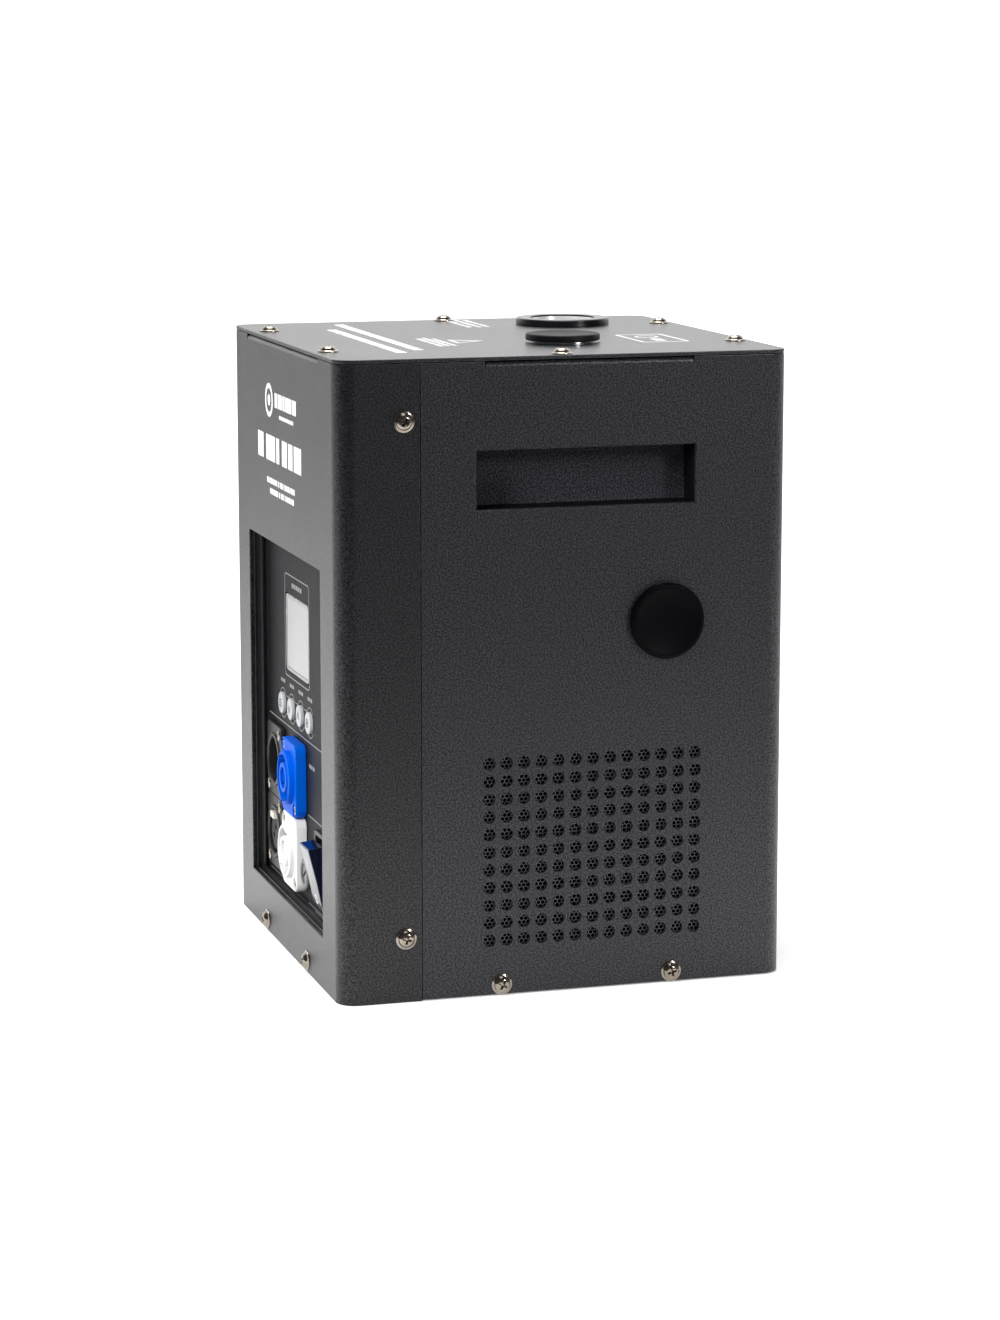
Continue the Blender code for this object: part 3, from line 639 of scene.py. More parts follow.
def metal(name, colour, rough=(0.2, 0.35), scale=900.0, stretch=(1, 1, 1), depth=0.000004,
          tarnish=(0.5, 0.45, 0.38), tarnish_amount=0.15):
    """Bare or plated metal with fine drawn marks and a little tarnish."""

    def build(tree, shader, vector):
        mapping = node(tree, "ShaderNodeMapping", inputs={"Scale": stretch})
        wire(tree, vector, mapping.inputs["Vector"])
        marks = noise(tree, mapping.outputs["Vector"], scale, 4.0, 0.65)
        stain = spread(tree, noise(tree, vector, 90.0, 4.0), 0.4, 0.75, 0.0, tarnish_amount)
        wire(tree, blend_colours(tree, stain, colour, scaled(tarnish, 0.8)),
             shader.inputs["Base Color"])
        wire(tree, spread(tree, marks, 0.3, 0.7, *rough), shader.inputs["Roughness"])
        bump(tree, shader, marks, depth)
        shader.inputs["Metallic"].default_value = 1.0

    return finish(name, build)


def turned(name, colour, centre, rough=(0.15, 0.3), rings=2600.0, depth=0.000003,
           metallic=1.0):
    """Metal turned about a vertical axis at centre, with concentric tool marks."""

    def build(tree, shader, vector):
        mapping = node(tree, "ShaderNodeMapping",
                       inputs={"Location": (-centre.x * MM, -centre.y * MM, 0.0)})
        wire(tree, vector, mapping.inputs["Vector"])
        flat = node(tree, "ShaderNodeVectorMath", operation="MULTIPLY",
                    inputs={1: (1.0, 1.0, 0.0)})
        wire(tree, mapping.outputs["Vector"], flat.inputs[0])
        length = node(tree, "ShaderNodeVectorMath", operation="LENGTH")
        wire(tree, flat.outputs["Vector"], length.inputs[0])
        lines = node(tree, "ShaderNodeTexNoise", noise_dimensions="1D",
                     inputs={"Scale": rings, "Detail": 3.0})
        wire(tree, length.outputs["Value"], lines.inputs["W"])
        haze = spread(tree, noise(tree, vector, 160.0, 4.0), 0.35, 0.7)
        wire(tree, blend_colours(tree, haze, colour, scaled(colour, 0.86)),
             shader.inputs["Base Color"])
        wire(tree, spread(tree, lines.outputs["Fac"], 0.3, 0.7, *rough),
             shader.inputs["Roughness"])
        bump(tree, shader, lines.outputs["Fac"], depth)
        shader.inputs["Metallic"].default_value = metallic

    return finish(name, build)


def moulded(name, colour, rough=(0.28, 0.4), depth=0.000008, coat=0.0, ior=1.5, contrast=0.06,
            scale=2200.0, wear=0.1, specular=0.5):
    """Injection-moulded plastic or rubber: even colour, faint pebble, slight gloss changes."""

    def build(tree, shader, vector):
        grain = group_node(tree, grain_group(), vector, Scale=scale, Pebble=0.3)
        worn = group_node(tree, wear_group(), vector, Amount=wear)
        body = blend_colours(tree, grain.outputs["Broad"], scaled(colour, 1 - contrast),
                             scaled(colour, 1 + contrast))
        pale = tuple(channel * 0.7 + 0.25 for channel in colour)
        wire(tree, blend_colours(tree, worn.outputs["Mask"], body, pale),
             shader.inputs["Base Color"])
        wire(tree, spread(tree, grain.outputs["Broad"], 0, 1, *rough),
             shader.inputs["Roughness"])
        bump(tree, shader, grain.outputs["Height"], depth)
        shader.inputs["IOR"].default_value = ior
        shader.inputs["Specular IOR Level"].default_value = specular
        shader.inputs["Coat Weight"].default_value = coat
        shader.inputs["Coat Roughness"].default_value = 0.04

    return finish(name, build)


def powder_coat(name="powder_coat", shade_share=1.0):
    # A share below one makes a darker copy of the same coat: painted shade.
    return coated(name, scaled(tuple(colours().powder), shade_share), scale=1500.0, contrast=0.98,
                  specular=0.15, lacquer=1.0, lacquer_rough=0.32, depth=0.0003)


def printed_ink():
    ink = tuple(colours().ink)
    return coated("printed_ink", ink, scale=2600.0, rough=(0.4, 0.55), depth=0.00001, wear=0.0,
                  dust=0.0, contrast=0.12)


def black_plastic():
    return moulded("black_plastic", (0.012, 0.012, 0.013), rough=(0.3, 0.45))


def plain_steel():
    return metal("plain_steel", (0.33, 0.33, 0.34), rough=(0.45, 0.6), stretch=(1, 1, 0.08))


def nickel_plate():
    return metal("nickel_plate", (0.46, 0.41, 0.35), rough=(0.1, 0.2), scale=1500.0,
                 tarnish=(0.35, 0.27, 0.2), tarnish_amount=0.5)


# ---------------------------------------------------------------- geometry node trees

def geometry_tree(name, inputs):
    tree = bpy.data.node_groups.new(name, "GeometryNodeTree")
    for label, kind, value in inputs:
        socket = tree.interface.new_socket(name=label, in_out="INPUT", socket_type=kind)
        if value is not None:
            socket.default_value = value
    tree.interface.new_socket(name="Geometry", in_out="OUTPUT",
                              socket_type="NodeSocketGeometry")
    return tree, tree.nodes.new("NodeGroupInput").outputs, tree.nodes.new("NodeGroupOutput")


def close_tree(tree, geometry, finish_socket, output):
    """Realize, set the material and send the geometry out."""
    real = node(tree, "GeometryNodeRealizeInstances")
    paint = node(tree, "GeometryNodeSetMaterial")
    wire(tree, geometry, real.inputs[0])
    wire(tree, real.outputs[0], paint.inputs["Geometry"])
    wire(tree, finish_socket, paint.inputs["Material"])
    wire(tree, paint.outputs["Geometry"], output.inputs[0])


def run_tree(obj, tree, values):
    """Run a geometry node tree on an object and keep the result as plain mesh."""
    modifier = obj.modifiers.new(tree.name, "NODES")
    modifier.node_group = tree
    for item in tree.interface.items_tree:
        if item.in_out == "INPUT" and item.name in values:
            modifier[item.identifier] = values[item.name]
    settle(obj)


def grid_size(tree, count, pitch):
    """Length of a row of count points one pitch apart."""
    return math_node(tree, "MULTIPLY", math_node(tree, "SUBTRACT", count, 1.0), pitch)


def perforation_tree():
    """Cuts rows of round holes through both side walls with bars that run along X."""
    tree, given, output = geometry_tree("perforate_walls", [
        ("Geometry", "NodeSocketGeometry", None), ("Columns", "NodeSocketInt", 13),
        ("Rows", "NodeSocketInt", 11), ("Pitch", "NodeSocketFloat", 0.007),
        ("Radius", "NodeSocketFloat", 0.0025), ("Length", "NodeSocketFloat", 0.2),
        ("Sides", "NodeSocketInt", 20), ("Centre", "NodeSocketVector", None),
        ("Finish", "NodeSocketMaterial", None)])
    grid = node(tree, "GeometryNodeMeshGrid")
    wire(tree, grid_size(tree, given["Rows"], given["Pitch"]), grid.inputs["Size X"])
    wire(tree, grid_size(tree, given["Columns"], given["Pitch"]), grid.inputs["Size Y"])
    wire(tree, given["Rows"], grid.inputs["Vertices X"])
    wire(tree, given["Columns"], grid.inputs["Vertices Y"])
    bar = node(tree, "GeometryNodeMeshCylinder")
    wire(tree, given["Sides"], bar.inputs["Vertices"])
    wire(tree, given["Radius"], bar.inputs["Radius"])
    wire(tree, given["Length"], bar.inputs["Depth"])
    bars = node(tree, "GeometryNodeInstanceOnPoints")
    wire(tree, grid.outputs["Mesh"], bars.inputs["Points"])
    wire(tree, bar.outputs["Mesh"], bars.inputs["Instance"])
    real = node(tree, "GeometryNodeRealizeInstances")
    wire(tree, bars.outputs[0], real.inputs[0])
    place = node(tree, "GeometryNodeTransform", inputs={"Rotation": (0, math.pi / 2, 0)})
    wire(tree, real.outputs[0], place.inputs["Geometry"])
    wire(tree, given["Centre"], place.inputs["Translation"])
    cut = node(tree, "GeometryNodeMeshBoolean", operation="DIFFERENCE", solver="EXACT")
    wire(tree, given["Geometry"], cut.inputs["Mesh 1"])
    wire(tree, place.outputs["Geometry"], cut.inputs["Mesh 2"])
    close_tree(tree, cut.outputs["Mesh"], given["Finish"], output)
    return tree


def honeycomb_tree():
    """Rows of cells in the YZ plane, every other row moved by half a pitch."""
    tree, given, output = geometry_tree("honeycomb_mesh", [
        ("Geometry", "NodeSocketGeometry", None), ("Cell", "NodeSocketObject", None),
        ("Columns", "NodeSocketInt", 50), ("Rows", "NodeSocketInt", 50),
        ("Pitch", "NodeSocketFloat", 0.0017), ("Centre", "NodeSocketVector", None),
        ("Finish", "NodeSocketMaterial", None)])
    rise = math_node(tree, "MULTIPLY", given["Pitch"], math.sqrt(3) / 2)
    grid = node(tree, "GeometryNodeMeshGrid")
    wire(tree, grid_size(tree, given["Columns"], given["Pitch"]), grid.inputs["Size X"])
    wire(tree, grid_size(tree, given["Rows"], rise), grid.inputs["Size Y"])
    wire(tree, given["Columns"], grid.inputs["Vertices X"])
    wire(tree, given["Rows"], grid.inputs["Vertices Y"])
    position = node(tree, "GeometryNodeInputPosition")
    split = node(tree, "ShaderNodeSeparateXYZ")
    wire(tree, position.outputs[0], split.inputs[0])
    row = math_node(tree, "ROUND", math_node(tree, "DIVIDE", split.outputs["Y"], rise))
    odd = math_node(tree, "FLOORED_MODULO", row, 2.0)
    shift = node(tree, "ShaderNodeCombineXYZ")
    half = math_node(tree, "MULTIPLY", given["Pitch"], 0.5)
    wire(tree, math_node(tree, "MULTIPLY", odd, half), shift.inputs["X"])
    offset = node(tree, "GeometryNodeSetPosition")
    wire(tree, grid.outputs["Mesh"], offset.inputs["Geometry"])
    wire(tree, shift.outputs[0], offset.inputs["Offset"])
    cell = node(tree, "GeometryNodeObjectInfo")
    wire(tree, given["Cell"], cell.inputs["Object"])
    cells = node(tree, "GeometryNodeInstanceOnPoints")
    wire(tree, offset.outputs["Geometry"], cells.inputs["Points"])
    wire(tree, cell.outputs["Geometry"], cells.inputs["Instance"])
    place = node(tree, "GeometryNodeTransform",
                 inputs={"Rotation": (math.pi / 2, 0, math.pi / 2)})
    wire(tree, cells.outputs[0], place.inputs["Geometry"])
    wire(tree, given["Centre"], place.inputs["Translation"])
    close_tree(tree, place.outputs["Geometry"], given["Finish"], output)
    return tree


def fastener_tree():
    """Puts a fastener on every point, along the point's aim, turned by a seeded amount."""
    tree, given, output = geometry_tree("place_fasteners", [
        ("Geometry", "NodeSocketGeometry", None), ("Fastener", "NodeSocketObject", None),
        ("Seed", "NodeSocketInt", 0), ("Finish", "NodeSocketMaterial", None)])
    aim = node(tree, "GeometryNodeInputNamedAttribute", data_type="FLOAT_VECTOR")
    aim.inputs["Name"].default_value = "aim"
    align = node(tree, "FunctionNodeAlignRotationToVector", axis="Z")
    wire(tree, aim.outputs["Attribute"], align.inputs["Vector"])
    spin = node(tree, "FunctionNodeRandomValue", data_type="FLOAT")
    spin.inputs[2].default_value = 0.0
    spin.inputs[3].default_value = math.tau
    wire(tree, given["Seed"], spin.inputs["Seed"])
    about = node(tree, "FunctionNodeAxisAngleToRotation", inputs={"Axis": (0, 0, 1)})
    wire(tree, spin.outputs[1], about.inputs["Angle"])
    both = node(tree, "FunctionNodeRotateRotation", rotation_space="LOCAL")
    wire(tree, align.outputs[0], both.inputs["Rotation"])
    wire(tree, about.outputs[0], both.inputs["Rotate By"])
    shape = node(tree, "GeometryNodeObjectInfo")
    wire(tree, given["Fastener"], shape.inputs["Object"])
    every = node(tree, "GeometryNodeInstanceOnPoints")
    wire(tree, given["Geometry"], every.inputs["Points"])
    wire(tree, shape.outputs["Geometry"], every.inputs["Instance"])
    wire(tree, both.outputs[0], every.inputs["Rotation"])
    close_tree(tree, every.outputs[0], given["Finish"], output)
    return tree


def scatter(name, pattern, places, finish_used, seed):
    """Piece made of one fastener shape at every (point, direction) in places."""
    mesh = bpy.data.meshes.new(name)
    mesh.from_pydata([tuple(Vector(point) * MM) for point, _ in places], [], [])
    aims = mesh.attributes.new("aim", "FLOAT_VECTOR", "POINT")
    for item, (_, direction) in zip(aims.data, places):
        item.vector = direction
    obj = bpy.data.objects.new(name, mesh)
    bpy.context.scene.collection.objects.link(obj)
    tool = new_object("pattern", pattern)
    run_tree(obj, fastener_tree(), {"Fastener": tool, "Seed": seed, "Finish": finish_used})
    bpy.data.objects.remove(tool)
    return obj


# ---------------------------------------------------------------- cabinet pieces

def wall_outline(front):
    """Outline of a folded wall that wraps the front or the rear of the cabinet."""
    side = -1 if front else 1
    start = SEAM_Y if front else SEAM_Y + SEAM_GAP

    def wrapped(depth):
        half = [(HALF_X - depth, start)]
        half += arc(HALF_X - CORNER, side * (HALF_Y - CORNER), CORNER - depth, 0, side * 90, 14)
        return half + [(-x, y) for x, y in reversed(half)]

    outline = wrapped(0.0) + wrapped(SHEET)[::-1]
    return outline[::-1] if front else outline


def fold_cutter(x0, x1, y, radius=2.2):
    """Cutter that rounds the outer top edge of a wall along X where a tab is folded in."""
    profile = [(y - 1, WALL_TOP + 1), (y - 1, WALL_TOP - radius), (y, WALL_TOP - radius)]
    profile += [(y + radius - radius * math.cos(math.radians(a)),
                 WALL_TOP - radius + radius * math.sin(math.radians(a)))
                for a in range(15, 91, 15)]
    profile += [(y + radius, WALL_TOP + 1)]
    verts, faces = prism(profile, x0, x1)
    return [(z, x, y_) for x, y_, z in verts], faces


def relief(x0, x1, y):
    """Narrow saw cuts at the ends of a folded tab."""
    return joined(*[box(x - 0.2, x + 0.2, y - 1, y + 3.0, WALL_TOP - 2.3, WALL_TOP + 1)
                    for x in (x0, x1)])


def build_front_shell():
    edge = sizes().edge_break / MM
    obj = new_object("front_cover", softened(wall_outline(True), 0.0, WALL_TOP, edge))
    tab = TAB_REACH
    combine(obj, box(-tab, tab, -HALF_Y + 0.4, 14.0 - HALF_Y, WALL_TOP - SHEET, WALL_TOP),
            "UNION")
    window = flared(rounded(*WINDOW_X, *WINDOW_Z, 0.6, 3), 6.0, edge)
    combine(obj, moved(window, at(0, -HALF_Y, 0) @ TO_FRONT))
    combine(obj, fold_cutter(-tab, tab, -HALF_Y))
    combine(obj, relief(-tab, tab, -HALF_Y))
    # The front sheet takes a copy of the powder coat at 0.35 of its colour: painted shade, so its
    # strips on the sides read darker than the rear sheet.
    return complete(obj, powder_coat("front_powder_coat", 0.35),
                    replaces=["front_shell"])


def build_rear_shell():
    edge = sizes().edge_break / MM
    obj = new_object("rear_cover", softened(wall_outline(False), REAR_LO.z, WALL_TOP, edge))
    cup_lo, cup_hi = span("handle_cup_right")
    y0, y1 = cup_lo.y + 5.2, cup_hi.y - 5.2
    z0, z1 = cup_lo.z + 5.2, cup_hi.z - 5.2
    plug = middle("side_plug")
    for side in (1, -1):
        a, b = sorted((side * (HALF_X - 3.3), side * (HALF_X - 1.8)))
        combine(obj, box(a, b, SEAM_Y - 14, SEAM_Y + 3.3, 12.0, 248.0), "UNION")
        a, b = sorted((side * (HALF_X - 3.2), side * (HALF_X - 0.8)))
        combine(obj, box(a, b, SEAM_Y + 0.4, SEAM_Y + 3.2, 12.1, 247.9), "UNION")
        a, b = sorted((side * (HALF_X - 14.0), side * (HALF_X - 0.4)))
        combine(obj, box(a, b, *SIDE_TAB_Y, WALL_TOP - SHEET, WALL_TOP), "UNION")
        mirror = Matrix.Scale(side, 4, (1, 0, 0))
        pocket = moved(flared([(y0, z0), (y1, z0), (y1, z1), (y0, z1)], 8.0, 0.5),
                       at(HALF_X, 0, 0) @ TO_SIDE)
        combine(obj, moved(pocket, mirror))
        place = mirror @ turn(90, "Z")
        combine(obj, moved(fold_cutter(*SIDE_TAB_Y, -HALF_X), place))
        combine(obj, moved(relief(*SIDE_TAB_Y, -HALF_X), place))
    combine(obj, box(-TAB_REACH, TAB_REACH, HALF_Y - 14, HALF_Y - 0.4, WALL_TOP - SHEET,
                     WALL_TOP), "UNION")
    combine(obj, moved(fold_cutter(-TAB_REACH, TAB_REACH, -HALF_Y), turn(180, "Z")))
    combine(obj, moved(relief(-TAB_REACH, TAB_REACH, -HALF_Y), turn(180, "Z")))
    bore = moved(flared(circle(13.2, 48), 6.0, 0.3), at(HALF_X, plug.y, plug.z) @ TO_RIGHT)
    combine(obj, bore)
    values = sizes()
    mesh_mid = middle("dust_mesh_right")
    run_tree(obj, perforation_tree(), {
        "Columns": values.vent_columns, "Rows": values.vent_rows,
        "Pitch": values.vent_pitch, "Radius": values.vent_radius,
        "Length": 2.4 * HALF_X * MM, "Sides": 20,
        "Centre": (0.0, mesh_mid.y * MM, mesh_mid.z * MM), "Finish": powder_coat()})
    return complete(obj, powder_coat(), replaces=["rear_shell"])


def build_dust_meshes():
    pitch = sizes().mesh_pitch / MM
    outer = [(-y, x) for x, y in circle(pitch / math.sqrt(3), 6)]
    cell = new_object("cell", loop_strip(outer, pitch * 0.08, 0.12, -0.12))
    tree = honeycomb_tree()
    # Black mesh, its colour darkened further to stand in for the shade on the mesh set back behind
    # the holes: painted shade.
    look = coated("mesh_black", (0.0022, 0.0023, 0.0026), scale=2500.0, rough=(0.4, 0.55),
                  wear=0.0, dust=0.0, specular=0.08)
    # Near-black felt behind the mesh hides the lit inside from the holes: painted shade for the
    # dark inside of the cabinet.
    felt_shade = moulded("filter_felt", (0.0005, 0.0005, 0.0006), rough=(0.8, 0.9), depth=0.00008,
                   contrast=0.3, wear=0.0, specular=0.03)
    for name in ("dust_mesh_right", "dust_mesh_left"):
        lo, hi = span(name)
        centre = (lo + hi) / 2
        side = 1 if centre.x > 0 else -1
        inner_x = min(abs(lo.x), abs(hi.x))
        back = [side * (inner_x + 0.01), side * (inner_x + 0.05)]
        centre.x = side * (inner_x + 0.24)
        piece(name.replace("dust_mesh", "filter_felt"),
              box(min(back), max(back), lo.y + 0.5, hi.y - 0.5, lo.z + 0.5, hi.z - 0.5),
              felt_shade)
        columns = int((hi.y - lo.y - 3) / pitch)
        rows = int((hi.z - lo.z - 3) / (pitch * math.sqrt(3) / 2))
        obj = new_object(name.replace("dust_mesh", "filter_mesh"), box(0, 1, 0, 1, 0, 1))
        run_tree(obj, tree, {"Cell": cell, "Columns": columns, "Rows": rows,
                             "Pitch": pitch * MM, "Centre": tuple(centre * MM), "Finish": look})
        complete(obj, look, replaces=[name])
    bpy.data.objects.remove(cell)


def build_plates():
    edge = sizes().edge_break / MM
    top = new_object("lid_plate", softened(
        rounded(-HALF_X, HALF_X, -HALF_Y, HALF_Y, CORNER, 12), PLATE_LO.z, HEIGHT, edge))
    nozzle = middle("nozzle_collar")
    feeder = middle("feeder_neck")
    for place, radius in ((nozzle, 17.6), (feeder, 13.3)):
        combine(top, prism(circle(radius, 48, place.x, place.y), HEIGHT - 5, HEIGHT + 5))
    complete(top, powder_coat(), replaces=["top_plate"])
    lo, hi = span("base_plate")
    base = new_object("floor_pan", softened(
        rounded(lo.x, hi.x, lo.y, hi.y, CORNER - SHEET, 8), 0.0, SHEET, edge))
    for side in (1, -1):
        x0, x1 = sorted((side * hi.x, side * (hi.x - SHEET)))
        combine(base, box(x0, x1, -78.0, 78.0, 0.5, hi.z), "UNION")
        y0, y1 = sorted((side * hi.y, side * (hi.y - SHEET)))
        combine(base, box(-78.0, 78.0, y0, y1, 0.5, hi.z), "UNION")
    complete(base, powder_coat(), replaces=["base_plate"])


def build_handle_pockets():
    for name, side in (("handle_cup_right", 1), ("handle_cup_left", -1)):
        lo, hi = span(name)
        depth = hi.x - lo.x
        y0, y1, z0, z1 = lo.y + 4, hi.y - 4, lo.z + 4, hi.z - 4
        mouth = HALF_X - SHEET - GAP
        shell = softened([(y0, z0), (y1, z0), (y1, z1), (y0, z1)], -depth, 0.0, 0.3)
        lip = softened([(lo.y, lo.z), (hi.y, lo.z), (hi.y, hi.z), (lo.y, hi.z)], -1.2, 0.0, 0.2)
        hole = [(y0 + 1.2, z0 + 1.2), (y1 - 1.2, z0 + 1.2), (y1 - 1.2, z1 - 1.2),
                (y0 + 1.2, z1 - 1.2)]
        bottom = 1.2 - depth
        well = stack([(inset(hole, 0.9), bottom), (inset(hole, 0.35), bottom + 0.12),
                      (inset(hole, 0.1), bottom + 0.4), (hole, bottom + 0.9), (hole, 3.0)])
        mirror = Matrix.Scale(side, 4, (1, 0, 0))
        place = mirror @ at(mouth, 0, 0) @ TO_SIDE
        # The pocket lining is a lighter copy of the powder coat, painted light on the back wall,
        # and its side walls keep only 0.12 of that colour: painted shade.
        painted_pocket_lining = coated("pocket_coat", (0.034, 0.035, 0.042), scale=1500.0,
                        contrast=0.9, specular=0.06, depth=0.0003, dust=0.0, wear=0.0,
                        painted_side_shade=0.12)
        piece(name.replace("handle_cup", "handle_pocket"), moved(shell, place), painted_pocket_lining,
              replaces=[name], add=[moved(lip, place)],
              cut=[moved(well, place)])


def screw_shape():
    """Pan head on a washer flange, with a cross recess, its underside at height 0."""
    head = bent([(0, -5.9), (1.4, -5.9), (1.45, 0.05), (4.25, 0.05), (4.25, 0.5),
                 (3.35, 0.75), (3.1, 1.5), (2.2, 2.25), (0, 2.5)], 0.3, 2)
    head[0] = (0.0, -5.9)
    head[-1] = (0.0, 2.5)
    obj = new_object("screw", lathe(head, 28))
    for angle in (0, 90):
        wings = stack([([(-0.8, -0.25), (0.8, -0.25), (0.8, 0.25), (-0.8, 0.25)], 0.7),
                       ([(-1.95, -0.46), (1.95, -0.46), (1.95, 0.46), (-1.95, 0.46)], 2.3),
                       ([(-2.1, -0.52), (2.1, -0.52), (2.1, 0.52), (-2.1, 0.52)], 3.0)])
        combine(obj, moved(wings, turn(angle, "Z")))
    return taken_back(obj)


def build_screws():
    directions = {"top": (0, 0, 1), "right": (1, 0, 0), "left": (-1, 0, 0), "front": (0, -1, 0)}
    names = [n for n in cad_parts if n.startswith("screw_")]
    names.sort()
    places = []
    for name in names:
        aim = Vector(directions[name.split("_")[1]])
        lo, hi = span(name)
        reach = hi if max(aim) > 0 else lo
        tip = (lo + hi) / 2
        for axis in range(3):
            if aim[axis]:
                tip[axis] = reach[axis] - aim[axis] * 2.55
        places.append((tip, aim))
    obj = scatter("cabinet_screws", screw_shape(), places, nickel_plate(), sizes().screw_seed)
    complete(obj, nickel_plate(), replaces=names, crease=40)


def build_side_plug():
    lo, hi = span("side_plug")
    centre = (lo + hi) / 2
    r = (hi.z - lo.z) / 2
    proud = hi.x - HALF_X
    profile = [(0, -5.4), (11.8, -5.4), (12.7, -4.6), (12.7, 0.12), (r - 0.2, 0.12),
               (r, 0.5), (r, proud - 1.3), (r - 0.15, proud - 0.75), (r - 0.55, proud - 0.25),
               (r - 1.2, proud), (r - 1.9, proud - 0.05), (r - 3.0, proud - 0.4),
               (r - 5.0, proud - 1.0), (r - 9.0, proud - 1.6), (0, proud - 1.9)]
    look = moulded("plug_rubber", (0.0011, 0.0012, 0.0018), rough=(0.42, 0.52), depth=0.00003,
                   scale=1800.0, contrast=0.2, wear=0.0, specular=0.06)
    piece("rubber_plug", moved(lathe(profile, 72), at(HALF_X, centre.y, centre.z) @ TO_RIGHT),
          look, body="side_plug", replaces=["side_plug"], crease=50)


# ---------------------------------------------------------------- control panel

def panel_paint():
    return coated("panel_paint", tuple(colours().panel), scale=1300.0, rough=(0.5, 0.62),
                  depth=0.00004, wear=0.1, dust=0.0, specular=0.23, contrast=0.5)


def build_panel():
    x0, x1 = PAN_LO.x + 6.0 - 1.2, PAN_HI.x - 6.0 + 1.2
    z0, z1 = PAN_LO.z + 6.0 - 1.2, PAN_HI.z - 6.0 + 1.2
    outline = [(x0, z0), (x1, z0), (x1, z1), (x0, z1)]
    front = PANEL_Y - PAN_LO.y
    obj = new_object("panel_pan", moved(prism(outline, -SHEET, front), facing(0, 0)))
    lip = [(PAN_LO.x, PAN_LO.z), (PAN_HI.x, PAN_LO.z), (PAN_HI.x, PAN_HI.z),
           (PAN_LO.x, PAN_HI.z)]
    combine(obj, moved(prism(lip, front - 1.2, front), facing(0, 0)), "UNION")
    hole = inset(outline, 1.2)
    wall = [(hole, 2.0), (inset(hole, -0.0), 0.9), (inset(hole, 0.35), 0.35),
            (inset(hole, 0.9), 0.0)]
    well = stack([*wall[::-1], (hole, front + 3.0)])
    combine(obj, moved(well, facing(0, 0)))
    lcd_lo, lcd_hi = span("display_window")
    cuts = [flared(rounded(lcd_lo.x - 0.3, lcd_hi.x + 0.3, lcd_lo.z - 0.3, lcd_hi.z + 0.3,
                           1.2, 4), 4.0, 0.2)]
    sw = middle("switch_body")
    cuts.append(prism(rounded(sw.x - 8.9, sw.x + 8.9, sw.z - 16.4, sw.z + 16.4, 0.5, 2), -4, 1))
    for name, radius, sides in (("fuse_holder", 5.9, 32), ("key_menu", 4.85, 36),
                                ("key_down", 4.85, 36), ("key_up", 4.85, 36),
                                ("key_enter", 4.85, 36), ("dmx_in_shell", 12.2, 48),
                                ("dmx_out_shell", 12.2, 48), ("power_inlet", 12.2, 48),
                                ("power_outlet", 12.2, 48)):
        spot = middle(name)
        edge = 0.15 if name.startswith("key") else 0.05
        cuts.append(flared(circle(radius, sides, spot.x, spot.z), 4.0, edge))
    combine(obj, moved(joined(*cuts), facing(0, 0)))
    complete(obj, panel_paint(), replaces=["control_panel"])
    build_panel_liner(hole, front)


def build_panel_liner(hole, front):
    """Moulded strip round the recess, with two beads that catch the light."""
    gap = 0.05
    outer = inset(hole, gap)
    bands = [(0.95, 0.3), (1.3, 0.3), (1.5, 1.0), (2.2, 1.25), (2.9, 1.0), (3.1, 0.35),
             (4.9, 0.35), (5.1, 0.9), (5.5, 1.05), (front - 0.1, 0.9), (front - 0.05, 0.3)]
    n = len(hole)
    verts = []
    for height, reach in bands:
        verts += [(x, y, height) for x, y in inset(hole, gap + reach)]
    verts += [(x, y, bands[-1][0]) for x, y in outer]
    verts += [(x, y, bands[0][0]) for x, y in outer]
    rings = len(bands) + 2
    faces = []
    for k in range(rings):
        a, b = k * n, ((k + 1) % rings) * n
        faces += [[a + i, a + (i + 1) % n, b + (i + 1) % n, b + i] for i in range(n)]
    piece("recess_trim", moved((verts, faces), facing(0, 0)), black_plastic(),
          crease=25)


def bar(x, y, width, height, high=PRINT_HEIGHT):
    """Plain printed block."""
    return box(x - width / 2, x + width / 2, y - height / 2, y + height / 2, PRINT_ROOT,
               high)


def small_bars(x, y, widths, height, gap):
    """Row of plain blocks that stands where a short caption would."""
    total = sum(widths) + gap * (len(widths) - 1)
    shapes = []
    left = x - total / 2
    for width in widths:
        shapes.append(bar(left + width / 2, y, width, height))
        left += width + gap
    return shapes


